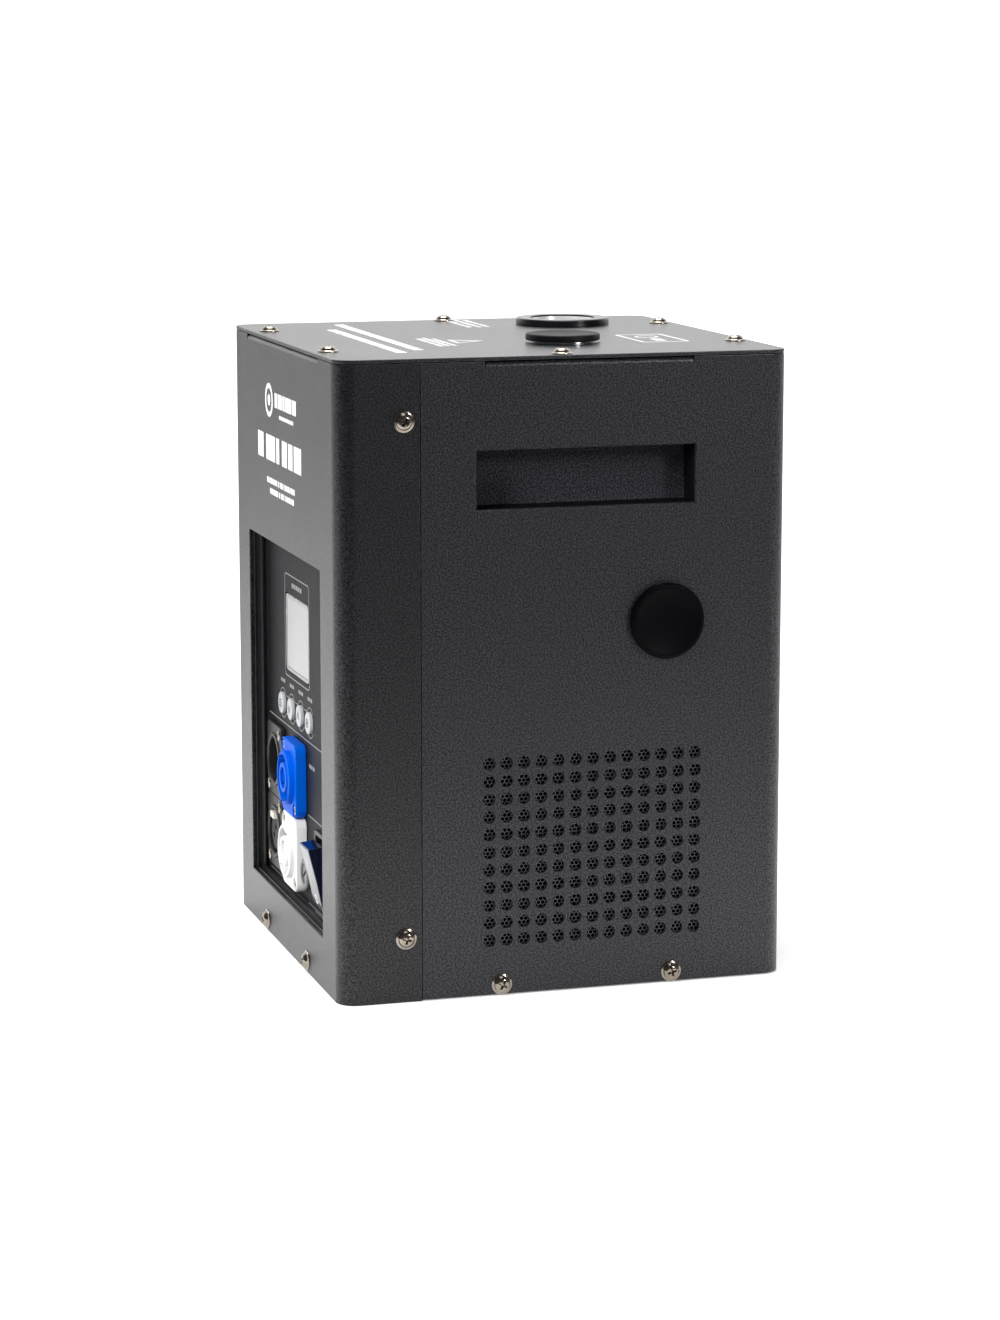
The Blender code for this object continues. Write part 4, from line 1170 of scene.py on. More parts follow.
def build_panel_print():
    line = sizes().print_line / MM
    lcd = middle("display_window")
    lcd_lo, lcd_hi = span("display_window")
    shapes = [loop_strip(rounded(lcd_lo.x - 1.6, lcd_hi.x + 1.6, lcd_lo.z - 2.6, lcd_hi.z + 8.6,
                                 2.5, 5), line, PRINT_HEIGHT)]
    shapes += small_bars(lcd.x, lcd_hi.z + 4.6, (3.2, 2.4, 3.2, 2.4, 2.6), 1.9, 0.9)
    keys = [middle(n) for n in ("key_menu", "key_down", "key_up", "key_enter")]
    for key in keys:
        shapes += small_bars(key.x, key.z + 9.6, (2.0, 1.8, 2.4), 1.5, 0.7)
        for up in (1, -1):
            ends = (38, 142) if up > 0 else (-142, -38)
            shapes.append(strip(arc(key.x, key.z, 6.3, *ends, 10), line * 0.8, PRINT_HEIGHT))
    for left, right in zip(keys, keys[1:]):
        for up in (1, -1):
            z = left.z + up * 6.3 * math.sin(math.radians(38))
            shapes.append(bar((left.x + right.x) / 2, z, right.x - left.x - 9.9, line * 0.8))
    divide = keys[0].z - 8.4
    shapes.append(bar((PAN_LO.x + PAN_HI.x) / 2, divide, PAN_HI.x - PAN_LO.x - 18, line))
    outlet = middle("power_outlet")
    inlet = middle("power_inlet")
    right_edge = PAN_HI.x - 9
    x = outlet.x + 14.5
    shapes.append(bar((x + right_edge) / 2, outlet.z + 18.0, right_edge - x, line))
    shapes.append(bar((PAN_LO.x + 9 + inlet.x - 14.5) / 2, 22.2,
                      inlet.x - 14.5 - PAN_LO.x - 9, line * 0.8))
    shapes.append(bar((x + right_edge) / 2, 22.2, right_edge - x, line * 0.8))
    switch = middle("switch_body")
    shapes += small_bars(switch.x + 16, switch.z + 10, (2.4, 1.8), 1.6, 0.8)
    shapes += small_bars(inlet.x + 22, inlet.z + 8, (2.6, 2.0, 3.0), 1.7, 0.8)
    ink = coated("panel_ink", scaled(tuple(colours().ink), 0.3), scale=2600.0,
                 rough=(0.4, 0.55), depth=0.00001, wear=0.0, dust=0.0, contrast=0.12)
    piece("panel_print", moved(joined(*shapes), facing(0, 0)), ink)


def caption(x, y, width, height, gap, seed):
    """Row of plain blocks of mixed widths, as long and as heavy as a line of print."""
    shapes = []
    left = x - width / 2
    step = seed
    while left < x + width / 2 - height * 0.3:
        step = (step * 7 + 3) % 11
        block = min(height * (0.5 + 0.12 * step), x + width / 2 - left)
        shapes.append(bar(left + block / 2, y, block, height))
        left += block + gap * (1 if step % 4 else 2.2)
    return shapes


# Each caption: centre, length, height, gap and seed
FRONT_CAPTIONS = [(6.5, 229.0, 38.0, 6.0, 1.3, 3), (8.0, 222.6, 25.0, 1.6, 0.6, 5),
                  (-4.7, 208.4, 79.0, 10.5, 2.2, 8), (-3.0, 194.8, 50.0, 2.4, 0.8, 2),
                  (-1.2, 190.5, 43.0, 2.4, 0.8, 6)]
LID_CAPTIONS = [(-11.0, -49.5, 132.0, 4.2, 0.9, 4), (7.0, -59.0, 116.0, 4.2, 0.9, 7),
                (22.0, -36.0, 38.0, 1.8, 0.9, 2), (20.0, -33.0, 40.0, 1.8, 0.9, 5),
                (22.0, -30.0, 36.0, 1.8, 0.9, 9), (-67.0, 1.0, 40.0, 2.0, 0.9, 3),
                (-67.0, 5.0, 40.0, 2.0, 0.9, 8), (-67.0, 9.0, 36.0, 2.0, 0.9, 1)]


def build_cover_print():
    """Plain blocks and signs on the front and the lid, in place of captions."""
    front = [moved(loop_strip(circle(7.0, 36), 2.0, PRINT_HEIGHT), at(-23.0, 228.1, 0)),
             moved(cylinder(2.4, PRINT_ROOT, PRINT_HEIGHT, 24), at(-23.0, 228.1, 0))]
    for line in FRONT_CAPTIONS:
        front += caption(*line)
    place = at(0, -HALF_Y, 0) @ TO_FRONT
    piece("front_print", moved(joined(*front), place), printed_ink())
    lid = []
    for line in LID_CAPTIONS:
        lid += caption(*line)
    triangle = [(-8.0, -5.5), (8.0, -5.5), (0.0, 7.5)]
    lid.append(moved(loop_strip(triangle, 1.2, PRINT_HEIGHT), at(20.0, -20.5, 0)))
    lid.append(moved(loop_strip(rounded(-19, 19, -10, 10, 1.5, 4), 1.1, PRINT_HEIGHT),
                     at(27.0, 57.0, 0)))
    lid.append(moved(loop_strip(circle(5.0, 28), 1.1, PRINT_HEIGHT), at(20.0, 57.0, 0)))
    lid += caption(35.0, 57.0, 9.0, 4.5, 1.0, 2)
    piece("lid_print", moved(joined(*lid), at(0, 0, HEIGHT)), printed_ink())


def build_display():
    lo, hi = span("display_window")
    face = facing(0, 0)
    rim_width = 1.4
    bezel = rounded(lo.x, hi.x, lo.z, hi.z, 2.6, 6)
    glass = softened(rounded(lo.x + 1.45, hi.x - 1.45, lo.z + 1.45, hi.z - 1.45, 1.3, 6), -1.35,
                     -0.25, 0.15, top_only=True)

    def screen(tree, shader, vector):
        dots = node(tree, "ShaderNodeTexBrick", offset=0.0,
                      inputs={"Scale": 1.0, "Mortar Size": 0.000035, "Brick Width": 0.00042,
                              "Row Height": 0.00042, "Color1": (0.31, 0.31, 0.31, 1),
                              "Color2": (0.30, 0.30, 0.30, 1), "Mortar": (0.34, 0.34, 0.34, 1)})
        flat = node(tree, "ShaderNodeMapping", inputs={"Rotation": (math.pi / 2, 0, 0)})
        wire(tree, vector, flat.inputs["Vector"])
        wire(tree, flat.outputs["Vector"], dots.inputs["Vector"])
        cloud = spread(tree, noise(tree, vector, 60.0, 2.0), 0.3, 0.7)
        wire(tree, blend_colours(tree, math_node(tree, "MULTIPLY", cloud, 0.3),
                                 dots.outputs["Color"], (0.36, 0.36, 0.35)),
             shader.inputs["Base Color"])
        shine = spread(tree, noise(tree, vector, 400.0, 3.0), 0.3, 0.7, 0.16, 0.22)
        wire(tree, shine, shader.inputs["Roughness"])
        shader.inputs["Coat Weight"].default_value = 0.5
        shader.inputs["Coat Roughness"].default_value = 0.05

    piece("display_glass", moved(glass, face), finish("display_face", screen),
          replaces=["display_window"])
    rim = loop_strip(bezel, rim_width, -0.1, -1.3)
    look = moulded("display_rim", (0.30, 0.30, 0.30), rough=(0.2, 0.3), depth=0.000004)
    piece("display_rim", moved(rim, face), look)


def key_icon(kind, height):
    """Generic sign on a key: a list, a down arrow, an up arrow or a return dot."""
    if kind == "menu":
        return [moved(box(-1.9, 1.9, y - 0.32, y + 0.32, 0, 0.08), at(0, 0, height))
                for y in (-1.3, 0.0, 1.3)]
    if kind in ("up", "down"):
        flip = 1 if kind == "up" else -1
        points = [(-1.9, -1.3 * flip), (0.0, 1.6 * flip), (1.9, -1.3 * flip)]
        return [moved(strip(points, 0.75, 0.08, 0.0), at(0, 0, height))]
    ring = loop_strip(circle(2.0, 28), 0.6, 0.08, 0.0)
    return [moved(ring, at(0, 0, height)),
            moved(cylinder(0.75, 0, 0.08, 16), at(0, 0, height))]


def build_keys():
    cap = moulded("key_cap", (0.46, 0.47, 0.48), rough=(0.25, 0.38), depth=0.000006)
    sign = moulded("key_sign", (0.035, 0.035, 0.04), rough=(0.35, 0.45))
    for kind in ("menu", "down", "up", "enter"):
        name = "key_" + kind
        lo, hi = span(name)
        spot = (lo + hi) / 2
        proud = PANEL_Y - lo.y
        r = 4.6
        profile = [(0, -3.1), (r + 0.8, -3.1), (r + 0.8, -2.0), (r, -2.0), (r, proud - 0.55),
                   (r - 0.12, proud - 0.28), (r - 0.4, proud - 0.12), (r - 1.0, proud - 0.08),
                   (0, proud - 0.08)]
        place = facing(spot.x, spot.z)
        piece(name + "_cap", moved(lathe(profile, 40), place), cap, body=name,
              replaces=[name])
        icon = joined(*key_icon(kind, proud - 0.1))
        piece(name + "_sign", moved(icon, place), sign, body=name)


def flange_outline(corner=4.0):
    return rounded(-13.0, 13.0, -15.5, 15.5, corner, 7)


def chassis_screws(name, centres, height, colour_finish):
    """Small countersunk screws that hold a panel socket."""
    shape = bent([(0, -3.0), (1.2, -3.0), (1.25, -0.9), (2.45, 0.0), (2.4, 0.25), (1.6, 0.55),
                  (0, 0.7)], 0.25, 2)
    shape[0] = (0.0, -3.0)
    shape[-1] = (0.0, 0.7)
    obj = new_object("small_screw", lathe(shape, 24))
    for angle in (0, 90):
        combine(obj, moved(box(-1.3, 1.3, -0.25, 0.25, 0.15, 2.0), turn(angle, "Z")))
    pattern = taken_back(obj)
    places = [(facing(x, z) @ Vector((0, 0, height)), Vector((0, -1, 0))) for x, z in centres]
    made = scatter(name, pattern, places, colour_finish, 3)
    complete(made, colour_finish, crease=40)


def build_power_sockets():
    edge = 0.5
    for name, look, slot, angle in (
            ("power_inlet", moulded("inlet_blue", tuple(colours().inlet), rough=(0.35, 0.45),
                                    depth=0.000005, contrast=0.05, specular=0.07, wear=0.0),
             "plastic_blue", 40),
            ("power_outlet", moulded("outlet_white", tuple(colours().outlet), rough=(0.25, 0.36),
                                     depth=0.000005, contrast=0.03), "plastic_white", -40)):
        lo, hi = span(name)
        spot = (lo + hi) / 2
        thick = PANEL_Y - lo.y - 2.5
        place = facing(spot.x, spot.z)
        obj = new_object(name + "_body", moved(
            softened(flange_outline(), 0.1, thick, edge), place))
        boss = lathe([(0, -20), (11.2, -20), (11.2, thick + 1.7), (11.0, thick + 2.2),
                      (10.5, thick + 2.45), (0, thick + 2.45)], 72)
        combine(obj, moved(boss, place), "UNION")
        dish = lathe([(9.7, -9.0), (9.7, thick + 2.0), (10.0, thick + 3.2), (6.0, thick + 3.2),
                      (6.5, thick + 1.2), (6.6, thick + 0.9), (6.6, -9.0)], 64)
        combine(obj, moved(dish, place))
        bore = flared(circle(4.3, 40), 7.0, 0.3)
        combine(obj, moved(bore, place @ at(0, 0, thick + 1.0)))
        key = joined(box(-1.6, 1.6, 9.2, 10.7, -2.0, thick + 5),
                     box(-1.1, 1.1, -10.5, -9.2, -2.0, thick + 5))
        combine(obj, moved(key, place @ turn(angle, "Z")))
        ears = [(-9.6, 12.2), (9.6, -12.2)]
        sinks = joined(*[moved(cylinder(2.75, thick - 0.9, thick + 3, 28), at(x, y, 0))
                         for x, y in ears])
        combine(obj, moved(sinks, place))
        complete(obj, look, replaces=[name], crease=38)
        chassis_screws(name + "_screws", [(spot.x + x, spot.z + y) for x, y in ears],
                       thick - 0.85, nickel_plate())
        post = lathe([(0, -8.5), (4.2, -8.5), (4.2, -7.0), (1.9, -7.0), (1.9, thick - 1.2),
                      (1.6, thick - 0.9), (0, thick - 0.9)], 32)
        piece(name + "_post", moved(post, place), look)


def build_control_sockets():
    shell = coated("socket_black", (0.012, 0.012, 0.013), scale=2400.0, rough=(0.28, 0.4),
                   depth=0.00001, wear=0.3, dust=0.0)
    dark = moulded("socket_core", (0.01, 0.01, 0.011), rough=(0.4, 0.55))
    gold = metal("contact_gold", (0.95, 0.66, 0.22), rough=(0.15, 0.25), tarnish_amount=0.1)
    for name in ("dmx_in_shell", "dmx_out_shell"):
        lo, hi = span(name)
        spot = (lo + hi) / 2
        high = PANEL_Y - lo.y
        place = facing(spot.x, spot.z)
        obj = new_object(name.replace("shell", "flange"), moved(
            softened(flange_outline(3.0), 0.1, high - 0.6, 0.35), place))
        barrel = lathe([(0, -18.9), (11.5, -18.9), (11.5, high - 0.3), (11.3, high),
                        (0, high)], 64)
        combine(obj, moved(barrel, place), "UNION")
        well = lathe([(0, -14.0), (9.5, -14.0), (9.5, high - 0.5), (10.0, high + 0.01),
                      (10.0, high + 4), (0, high + 4)], 64)
        combine(obj, moved(well, place))
        combine(obj, moved(cylinder(8.6, -24.0, 0.0, 40), place))
        complete(obj, shell, replaces=[name], crease=38)
        ears = [(9.5, 12.0), (-9.5, -12.0)]
        chassis_screws(name.replace("shell", "screws"),
                       [(spot.x + x, spot.z + y) for x, y in ears], high - 0.5,
                       nickel_plate())
    spot = middle("dmx_in_pins")
    place = facing(spot.x, spot.z)
    base = lathe([(0, -18.5), (8.2, -18.5), (8.2, -14.5), (7.9, -14.2), (0, -14.2)], 48)
    piece("dmx_in_base", moved(base, place), dark, replaces=["dmx_in_pins"])
    pins = []
    for degrees in (30, 150, 270):
        a = math.radians(degrees)
        pin = lathe([(0, -14.3), (1.2, -14.3), (1.2, -2.7), (0.9, -2.1), (0, -1.95)], 20)
        pins.append(moved(pin, at(4.4 * math.cos(a), 4.4 * math.sin(a), 0)))
    piece("dmx_in_contacts", moved(joined(*pins), place), gold)
    lo, hi = span("dmx_out_core")
    spot = (lo + hi) / 2
    place = facing(spot.x, middle("dmx_out_shell").z)
    face = PANEL_Y - lo.y
    core = new_object("dmx_out_insert", moved(
        lathe([(0, -18.5), (8.1, -18.5), (8.1, face - 0.3), (7.8, face), (0, face)], 56), place))
    combine(core, moved(box(-3.4, 3.4, 5.4, 10.0, -16.0, 9.0), place))
    bores = [moved(flared(circle(1.35, 20), 9.0, 0.35), at(x, y, face))
             for x, y in ((-3.8, -2.2), (3.8, -2.2), (0.0, 1.6))]
    combine(core, moved(joined(*bores), place))
    complete(core, dark, replaces=["dmx_out_core"])
    lo, hi = span("dmx_out_latch")
    tongue = soft_box(lo.x, hi.x, lo.z, hi.z, PANEL_Y - hi.y, PANEL_Y - lo.y, 0.35)
    latch = moulded("latch_cream", (0.72, 0.68, 0.58), rough=(0.25, 0.35))
    piece("release_latch", moved(tongue, facing(0, 0)), latch,
          body="dmx_out_latch", replaces=["dmx_out_latch"])


def build_fuse():
    spot = middle("fuse_holder")
    place = facing(spot.x, spot.z)
    body = [(4.1, -25.9), (5.6, -25.9), (5.6, 0.1), (6.8, 0.1), (6.85, 0.9), (6.5, 1.35),
            (4.1, 1.35)]
    piece("fuse_collar", moved(lathe(body, 48), place), black_plastic(),
          replaces=["fuse_holder"])
    top = PANEL_Y - span("fuse_cap")[0].y
    r = 6.6
    cap = [(0, -4.9), (3.6, -4.9), (3.6, 1.65), (r, 1.65), (r, top - 0.9), (r - 0.3, top - 0.3),
           (r - 0.9, top), (r - 2.2, top - 0.05), (r - 2.5, top - 0.5), (0, top - 0.5)]
    obj = new_object("fuse_knob", moved(lathe(cap, 56), place))
    flutes = [moved(cylinder(0.45, 1.7, top + 2, 10), turn(15.0 * i, "Z") @ at(r + 0.15, 0, 0))
              for i in range(24)]
    combine(obj, moved(joined(*flutes), place))
    combine(obj, moved(box(-3.6, 3.6, -0.6, 0.6, top - 1.9, top + 2), place @ turn(35, "Z")))
    look = moulded("fuse_grey", (0.075, 0.077, 0.08), rough=(0.25, 0.38))
    complete(obj, look, body="fuse_cap", replaces=["fuse_cap"], crease=40)


def build_switch():
    lo, hi = span("switch_body")
    spot = (lo + hi) / 2
    place = facing(spot.x, spot.z)
    bezel = softened(rounded(-10.0, 10.0, -17.6, 17.6, 1.6, 5), 0.1, 2.6, 0.5)
    obj = new_object("switch_bezel", moved(bezel, place))
    combine(obj, moved(box(-8.6, 8.6, -16.2, 16.2, -17.9, 0.5), place), "UNION")
    well = flared(rounded(-7.95, 7.95, -15.5, 15.5, 0.5, 3), 9.0, 0.35)
    combine(obj, moved(well, place @ at(0, 0, 2.6)))
    complete(obj, black_plastic(), replaces=["switch_body"])
    pivot = place @ at(0, 0, 1.0)
    side = bent([(-14.35, 2.0), (-14.35, 5.3), (0.0, 5.0), (14.35, 5.3), (14.35, 2.0)], 0.7, 4)
    side = side[1:-1] + [(13.8, -1.5), (4.0, -4.9), (-4.0, -4.9), (-13.8, -1.5)]
    verts, faces = softened(side[::-1], -7.55, 7.55, 0.35)
    rocker = [(z, x, y) for x, y, z in verts], faces
    tilt = Matrix.Rotation(math.radians(13.0), 4, "X")
    look = moulded("rocker_gloss", (0.006, 0.008, 0.022), rough=(0.05, 0.09), depth=0.000001,
                   coat=0.35, ior=1.55, wear=0.0)
    piece("switch_paddle", moved(rocker, pivot @ tilt), look,
          body="switch_rocker", replaces=["switch_rocker"])
    dash = box(-0.45, 0.45, 6.0, 10.0, 5.0, 5.28)
    ring = moved(loop_strip(circle(2.1, 28), 0.7, 5.3, 4.9), at(0, -8.3, -0.05))
    signs = moved(joined(dash, ring), pivot @ tilt)
    piece("switch_signs", signs, printed_ink(), body="switch_rocker")


# ---------------------------------------------------------------- top fittings

def build_nozzle():
    spot = middle("nozzle_collar")
    lo, hi = span("nozzle_collar")
    r = (hi.x - lo.x) / 2
    high = hi.z - HEIGHT
    place = at(spot.x, spot.y, HEIGHT)
    ring = [(13.75, -2.5), (17.1, -2.5), (17.1, 0.1), (r - 0.1, 0.1), (r, 0.3),
            (r, high - 0.75), (r - 0.2, high - 0.3), (r - 0.6, high - 0.03), (14.3, high),
            (13.95, high - 0.12), (13.75, high - 0.5)]
    dark = turned("dark_anodised", (0.006, 0.006, 0.007), spot, rough=(0.16, 0.24), metallic=0.0)
    piece("spark_collar", moved(lathe(ring, 96), place), dark,
          replaces=["nozzle_collar"], crease=50)
    dish = [(13.3, 2.2), (13.4, 1.9), (13.4, -7.4), (12.2, -7.4), (6.6, -11.0), (6.6, -19.9),
            (5.6, -19.9), (5.6, -10.5), (6.2, -9.6), (12.2, -1.6), (12.6, -0.6), (12.8, 2.0),
            (12.95, 2.25), (13.15, 2.3)]
    # Polished steel, made half metallic so half its pale colour shows as plain diffuse white:
    # painted reflection of the bright studio inside the funnel.
    bright = turned("polished_steel", (0.86, 0.87, 0.88), spot, rough=(0.22, 0.32), metallic=0.5)
    piece("spark_funnel", moved(lathe(dish, 96), place), bright,
          replaces=["nozzle_dish"], crease=45)


def build_feeder():
    spot = middle("feeder_neck")
    lo, hi = span("feeder_cap")
    r = (hi.x - lo.x) / 2
    place = at(spot.x, spot.y, HEIGHT)
    neck = [(11.65, -8.9), (12.8, -8.9), (12.8, 0.1), (r + 0.0, 0.1), (r + 0.08, 0.25),
            (r + 0.08, 1.0), (r - 0.1, 1.18), (11.65, 1.18)]
    silver = turned("bright_aluminium", (0.42, 0.42, 0.44), spot, rough=(0.14, 0.22))
    piece("feeder_ring", moved(lathe(neck, 80), place), silver,
          replaces=["feeder_neck"], crease=45)
    top = hi.z - HEIGHT
    cap = [(0, 1.45), (9.95, 1.45), (9.95, -3.45), (11.2, -3.45), (11.2, 1.33), (r - 0.15, 1.33),
           (r, 1.5), (r, top - 0.8), (r - 0.15, top - 0.35), (r - 0.5, top - 0.08), (r - 1.2, top),
           (r - 2.2, top - 0.06), (r - 3.2, top - 0.22), (0, top - 0.3)]
    look = moulded("cap_rubber", (0.0042, 0.0042, 0.005), rough=(0.45, 0.6), depth=0.00006,
                   scale=1700.0, contrast=0.25, wear=0.0, specular=0.25)
    piece("feeder_lid", moved(lathe(cap, 80), place), look, body="feeder_cap",
          replaces=["feeder_cap"], crease=50)


# ---------------------------------------------------------------- works inside

def dress(name, look):
    """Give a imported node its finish."""
    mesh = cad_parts[name].data
    mesh.materials.clear()
    mesh.materials.append(look)


def build_works():
    steel = plain_steel()
    black = black_plastic()
    copper = metal("coil_copper", (0.80, 0.38, 0.20), rough=(0.22, 0.38), tarnish_amount=0.35,
                   tarnish=(0.25, 0.12, 0.08))
    board = coated("circuit_green", (0.012, 0.09, 0.035), scale=900.0, rough=(0.25, 0.4),
                   depth=0.00002, wear=0.0, contrast=0.3)
    screw_steel = metal("feed_steel", (0.5, 0.5, 0.52), rough=(0.2, 0.4), scale=700.0)
    # The power supply gets the black plastic finish so the inside reads dark through the vents:
    # painted shade.
    for name, look in (("auger_tube", steel), ("spark_tube", steel), ("hopper", steel),
                       ("feed_motor", steel), ("feed_screw", screw_steel),
                       ("power_supply", black), ("chassis_bracket", steel),
                       ("heater_coil", copper), ("blower_housing", black),
                       ("blower_rotor", black), ("fan_frame", black), ("fan_rotor", black),
                       ("main_board", board), ("display_module", board)):
        dress(name, look)


# ---------------------------------------------------------------- stage

def build_stage():
    floor = new_object("floor", box(-6000, 6000, -6000, 6000, -20.0, -0.1))

    # Camera rays see the floor glow white, more weakly near the machine so its shadow shows:
    # painted light. Other rays see it turn near black towards the camera side: painted shade that
    # keeps bounce light off the machine.
    def pale(tree, shader, vector):
        reach = node(tree, "ShaderNodeVectorMath", operation="LENGTH")
        wire(tree, vector, reach.inputs[0])
        seen = node(tree, "ShaderNodeLightPath").outputs["Is Camera Ray"]
        cloud = spread(tree, noise(tree, vector, 3.0, 3.0), 0.3, 0.7)
        white = blend_colours(tree, cloud, (0.92, 0.92, 0.92), (0.94, 0.94, 0.94))
        near = node(tree, "ShaderNodeVectorMath", operation="DOT_PRODUCT",
                    inputs={1: tuple(VIEW_SIDE)})
        wire(tree, vector, near.inputs[0])
        camera_side_shade = spread(tree, near.outputs["Value"], 0.2, 0.6)
        dark = blend_colours(tree, camera_side_shade, white, (0.06, 0.06, 0.065))
        shade = blend_colours(tree, seen, dark, white)
        wire(tree, shade, shader.inputs["Base Color"])
        wire(tree, shade, shader.inputs["Emission Color"])
        painted_glow = math_node(tree, "MULTIPLY",
                        spread(tree, reach.outputs["Value"], 0.12, 0.2, 0.3, 1.2), seen)
        wire(tree, painted_glow, shader.inputs["Emission Strength"])
        shader.inputs["Roughness"].default_value = 0.9

    floor.data.materials.append(finish("pale_floor", pale))
    world = bpy.data.worlds.new("studio")
    bpy.context.scene.world = world
    world.use_nodes = True
    tree = world.node_tree
    heading = node(tree, "ShaderNodeTexCoord").outputs["Generated"]
    along = node(tree, "ShaderNodeVectorMath", operation="DOT_PRODUCT",
                 inputs={1: tuple(-VIEW_SIDE)})
    wire(tree, heading, along.inputs[0])
    seen = node(tree, "ShaderNodeLightPath").outputs["Is Camera Ray"]
    bright = math_node(tree, "MAXIMUM", seen, spread(tree, along.outputs["Value"], 0.1, 0.75))
    sky = tree.nodes["Background"]
    wire(tree, blend_colours(tree, bright, (0.05, 0.05, 0.055), (1.0, 1.0, 1.0)),
         sky.inputs["Color"])
    sky.inputs["Strength"].default_value = 1.2
    for name, place, size, power in (("key_light", (1.10, 0.68, 0.66), 0.3, 5.7),
                                     ("fill_light", (1.0, -1.6, 1.2), 1.0, 55.0),
                                     ("top_light", (-0.2, 0.0, 1.5), 1.0, 16.0)):
        light = bpy.data.lights.new(name, "AREA")
        light.shape = "DISK"
        light.size = size
        light.energy = power
        lamp = bpy.data.objects.new(name, light)
        lamp.location = place
        lamp.visible_glossy = name != "fill_light"
        aim = Vector((0, 0, 0.12)) - Vector(place)
        lamp.rotation_mode = "QUATERNION"
        lamp.rotation_quaternion = aim.to_track_quat("-Z", "Y")
        bpy.context.scene.collection.objects.link(lamp)
    bpy.context.scene.view_settings.view_transform = "Standard"


def build_camera():
    elevation = math.radians(VIEW_ELEVATION)
    back = VIEW_SIDE * math.cos(elevation) + Vector((0, 0, math.sin(elevation)))
    data = bpy.data.cameras.new("camera")
    data.lens = VIEW_LENS
    data.sensor_width = 36.0
    data.shift_x, data.shift_y = VIEW_SHIFT
    camera = bpy.data.objects.new("camera", data)
    camera.location = VIEW_TARGET + back * VIEW_DISTANCE
    camera.rotation_mode = "QUATERNION"
    camera.rotation_quaternion = (-back).to_track_quat("-Z", "Y")
    bpy.context.scene.collection.objects.link(camera)
    bpy.context.scene.camera = camera


# ---------------------------------------------------------------- operators

class SPARK_OT_stage(bpy.types.Operator):
    """Floor, lights and camera"""

    bl_idname = "spark.stage"
    bl_label = "Stage"

    def execute(self, context):
        build_stage()
        build_camera()
        return {"FINISHED"}


class SPARK_OT_front_cover(bpy.types.Operator):
    """Folded front sheet"""

    bl_idname = "spark.front_cover"
    bl_label = "Front cover"

    def execute(self, context):
        build_front_shell()
        return {"FINISHED"}


class SPARK_OT_rear_cover(bpy.types.Operator):
    """Folded rear sheet with its vents"""

    bl_idname = "spark.rear_cover"
    bl_label = "Rear cover"

    def execute(self, context):
        build_rear_shell()
        return {"FINISHED"}


class SPARK_OT_plates(bpy.types.Operator):
    """Lid plate and floor pan"""

    bl_idname = "spark.plates"
    bl_label = "Plates"

    def execute(self, context):
        build_plates()
        return {"FINISHED"}


class SPARK_OT_dust_meshes(bpy.types.Operator):
    """Honeycomb behind the vents"""

    bl_idname = "spark.dust_meshes"
    bl_label = "Dust meshes"

    def execute(self, context):
        build_dust_meshes()
        return {"FINISHED"}


class SPARK_OT_handle_pockets(bpy.types.Operator):
    """Pockets in both sides"""

    bl_idname = "spark.handle_pockets"
    bl_label = "Handle pockets"

    def execute(self, context):
        build_handle_pockets()
        return {"FINISHED"}


class SPARK_OT_screws(bpy.types.Operator):
    """Washer-head cabinet screws"""

    bl_idname = "spark.screws"
    bl_label = "Screws"

    def execute(self, context):
        build_screws()
        return {"FINISHED"}


class SPARK_OT_side_plug(bpy.types.Operator):
    """Rubber blanking plug"""

    bl_idname = "spark.side_plug"
    bl_label = "Side plug"

    def execute(self, context):
        build_side_plug()
        return {"FINISHED"}


class SPARK_OT_panel(bpy.types.Operator):
    """Recessed panel and its trim"""

    bl_idname = "spark.panel"
    bl_label = "Control panel"

    def execute(self, context):
        build_panel()
        return {"FINISHED"}


class SPARK_OT_prints(bpy.types.Operator):
    """Plain printed marks"""

    bl_idname = "spark.prints"
    bl_label = "Prints"

    def execute(self, context):
        build_panel_print()
        build_cover_print()
        return {"FINISHED"}


class SPARK_OT_display(bpy.types.Operator):
    """Display glass and rim"""

    bl_idname = "spark.display"
    bl_label = "Display"

    def execute(self, context):
        build_display()
        return {"FINISHED"}


class SPARK_OT_keys(bpy.types.Operator):
    """Four round keys"""

    bl_idname = "spark.keys"
    bl_label = "Keys"

    def execute(self, context):
        build_keys()
        return {"FINISHED"}


class SPARK_OT_power_sockets(bpy.types.Operator):
    """Mains inlet and outlet"""

    bl_idname = "spark.power_sockets"
    bl_label = "Mains sockets"

    def execute(self, context):
        build_power_sockets()
        return {"FINISHED"}


class SPARK_OT_control_sockets(bpy.types.Operator):
    """Control inlet and outlet"""

    bl_idname = "spark.control_sockets"
    bl_label = "Control sockets"

    def execute(self, context):
        build_control_sockets()
        return {"FINISHED"}


class SPARK_OT_fuse(bpy.types.Operator):
    """Fuse holder and cap"""

    bl_idname = "spark.fuse"
    bl_label = "Fuse"

    def execute(self, context):
        build_fuse()
        return {"FINISHED"}


class SPARK_OT_switch(bpy.types.Operator):
    """Rocker switch"""

    bl_idname = "spark.switch"
    bl_label = "Switch"

    def execute(self, context):
        build_switch()
        return {"FINISHED"}


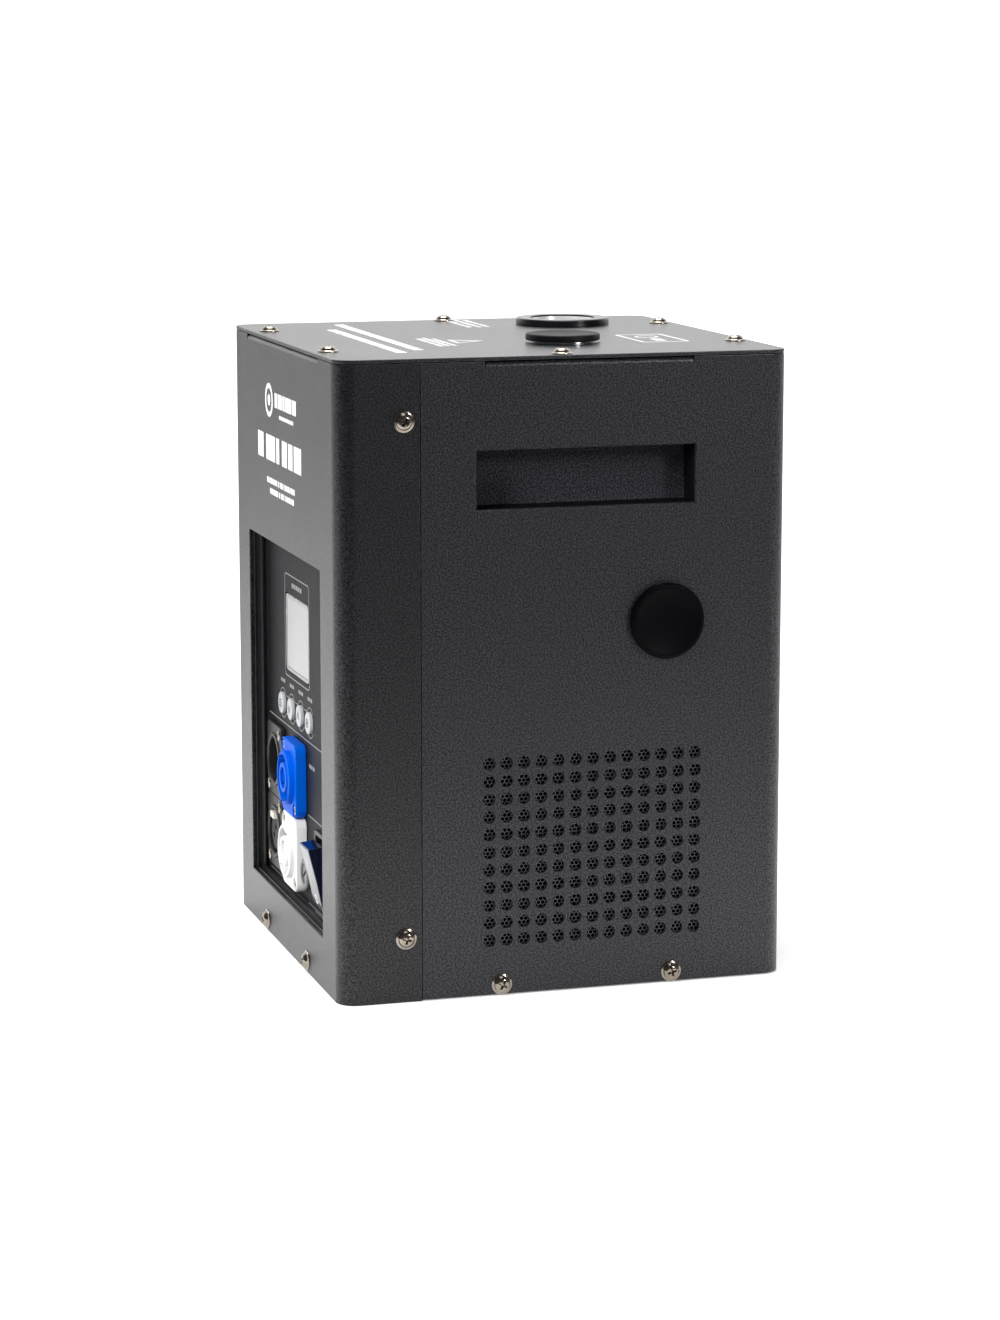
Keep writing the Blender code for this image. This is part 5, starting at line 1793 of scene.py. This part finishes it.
class SPARK_OT_nozzle(bpy.types.Operator):
    """Collar and funnel"""

    bl_idname = "spark.nozzle"
    bl_label = "Nozzle"

    def execute(self, context):
        build_nozzle()
        return {"FINISHED"}


class SPARK_OT_feeder(bpy.types.Operator):
    """Granule neck and lid"""

    bl_idname = "spark.feeder"
    bl_label = "Feeder"

    def execute(self, context):
        build_feeder()
        return {"FINISHED"}


class SPARK_OT_works(bpy.types.Operator):
    """Finishes for the parts inside"""

    bl_idname = "spark.works"
    bl_label = "Works"

    def execute(self, context):
        build_works()
        return {"FINISHED"}


STEPS = [
    SPARK_OT_stage, SPARK_OT_front_cover, SPARK_OT_rear_cover, SPARK_OT_plates,
    SPARK_OT_dust_meshes, SPARK_OT_handle_pockets, SPARK_OT_screws, SPARK_OT_side_plug,
    SPARK_OT_panel, SPARK_OT_prints, SPARK_OT_display, SPARK_OT_keys, SPARK_OT_power_sockets,
    SPARK_OT_control_sockets, SPARK_OT_fuse, SPARK_OT_switch, SPARK_OT_nozzle, SPARK_OT_feeder,
    SPARK_OT_works,
]


class SPARK_PT_sidebar(bpy.types.Panel):
    """Lists the steps that build the machine."""

    bl_idname = "SPARK_PT_sidebar"
    bl_label = "Spark Fountain"
    bl_space_type = "VIEW_3D"
    bl_region_type = "UI"
    bl_category = "Spark Fountain"

    def draw(self, context):
        for step in STEPS:
            self.layout.operator(step.bl_idname)


CLASSES = [SparkFountainSizes, SparkFountainColours, *STEPS, SPARK_PT_sidebar]


def register():
    for item in CLASSES:
        bpy.utils.register_class(item)
    bpy.types.Scene.spark_fountain_sizes = PointerProperty(type=SparkFountainSizes)
    bpy.types.Scene.spark_fountain_colours = PointerProperty(type=SparkFountainColours)


def unregister():
    del bpy.types.Scene.spark_fountain_colours
    del bpy.types.Scene.spark_fountain_sizes
    for item in reversed(CLASSES):
        bpy.utils.unregister_class(item)


def main():
    register()
    for step in STEPS:
        getattr(bpy.ops.spark, step.bl_idname.split(".")[1])()


if __name__ == "__main__":
    main()
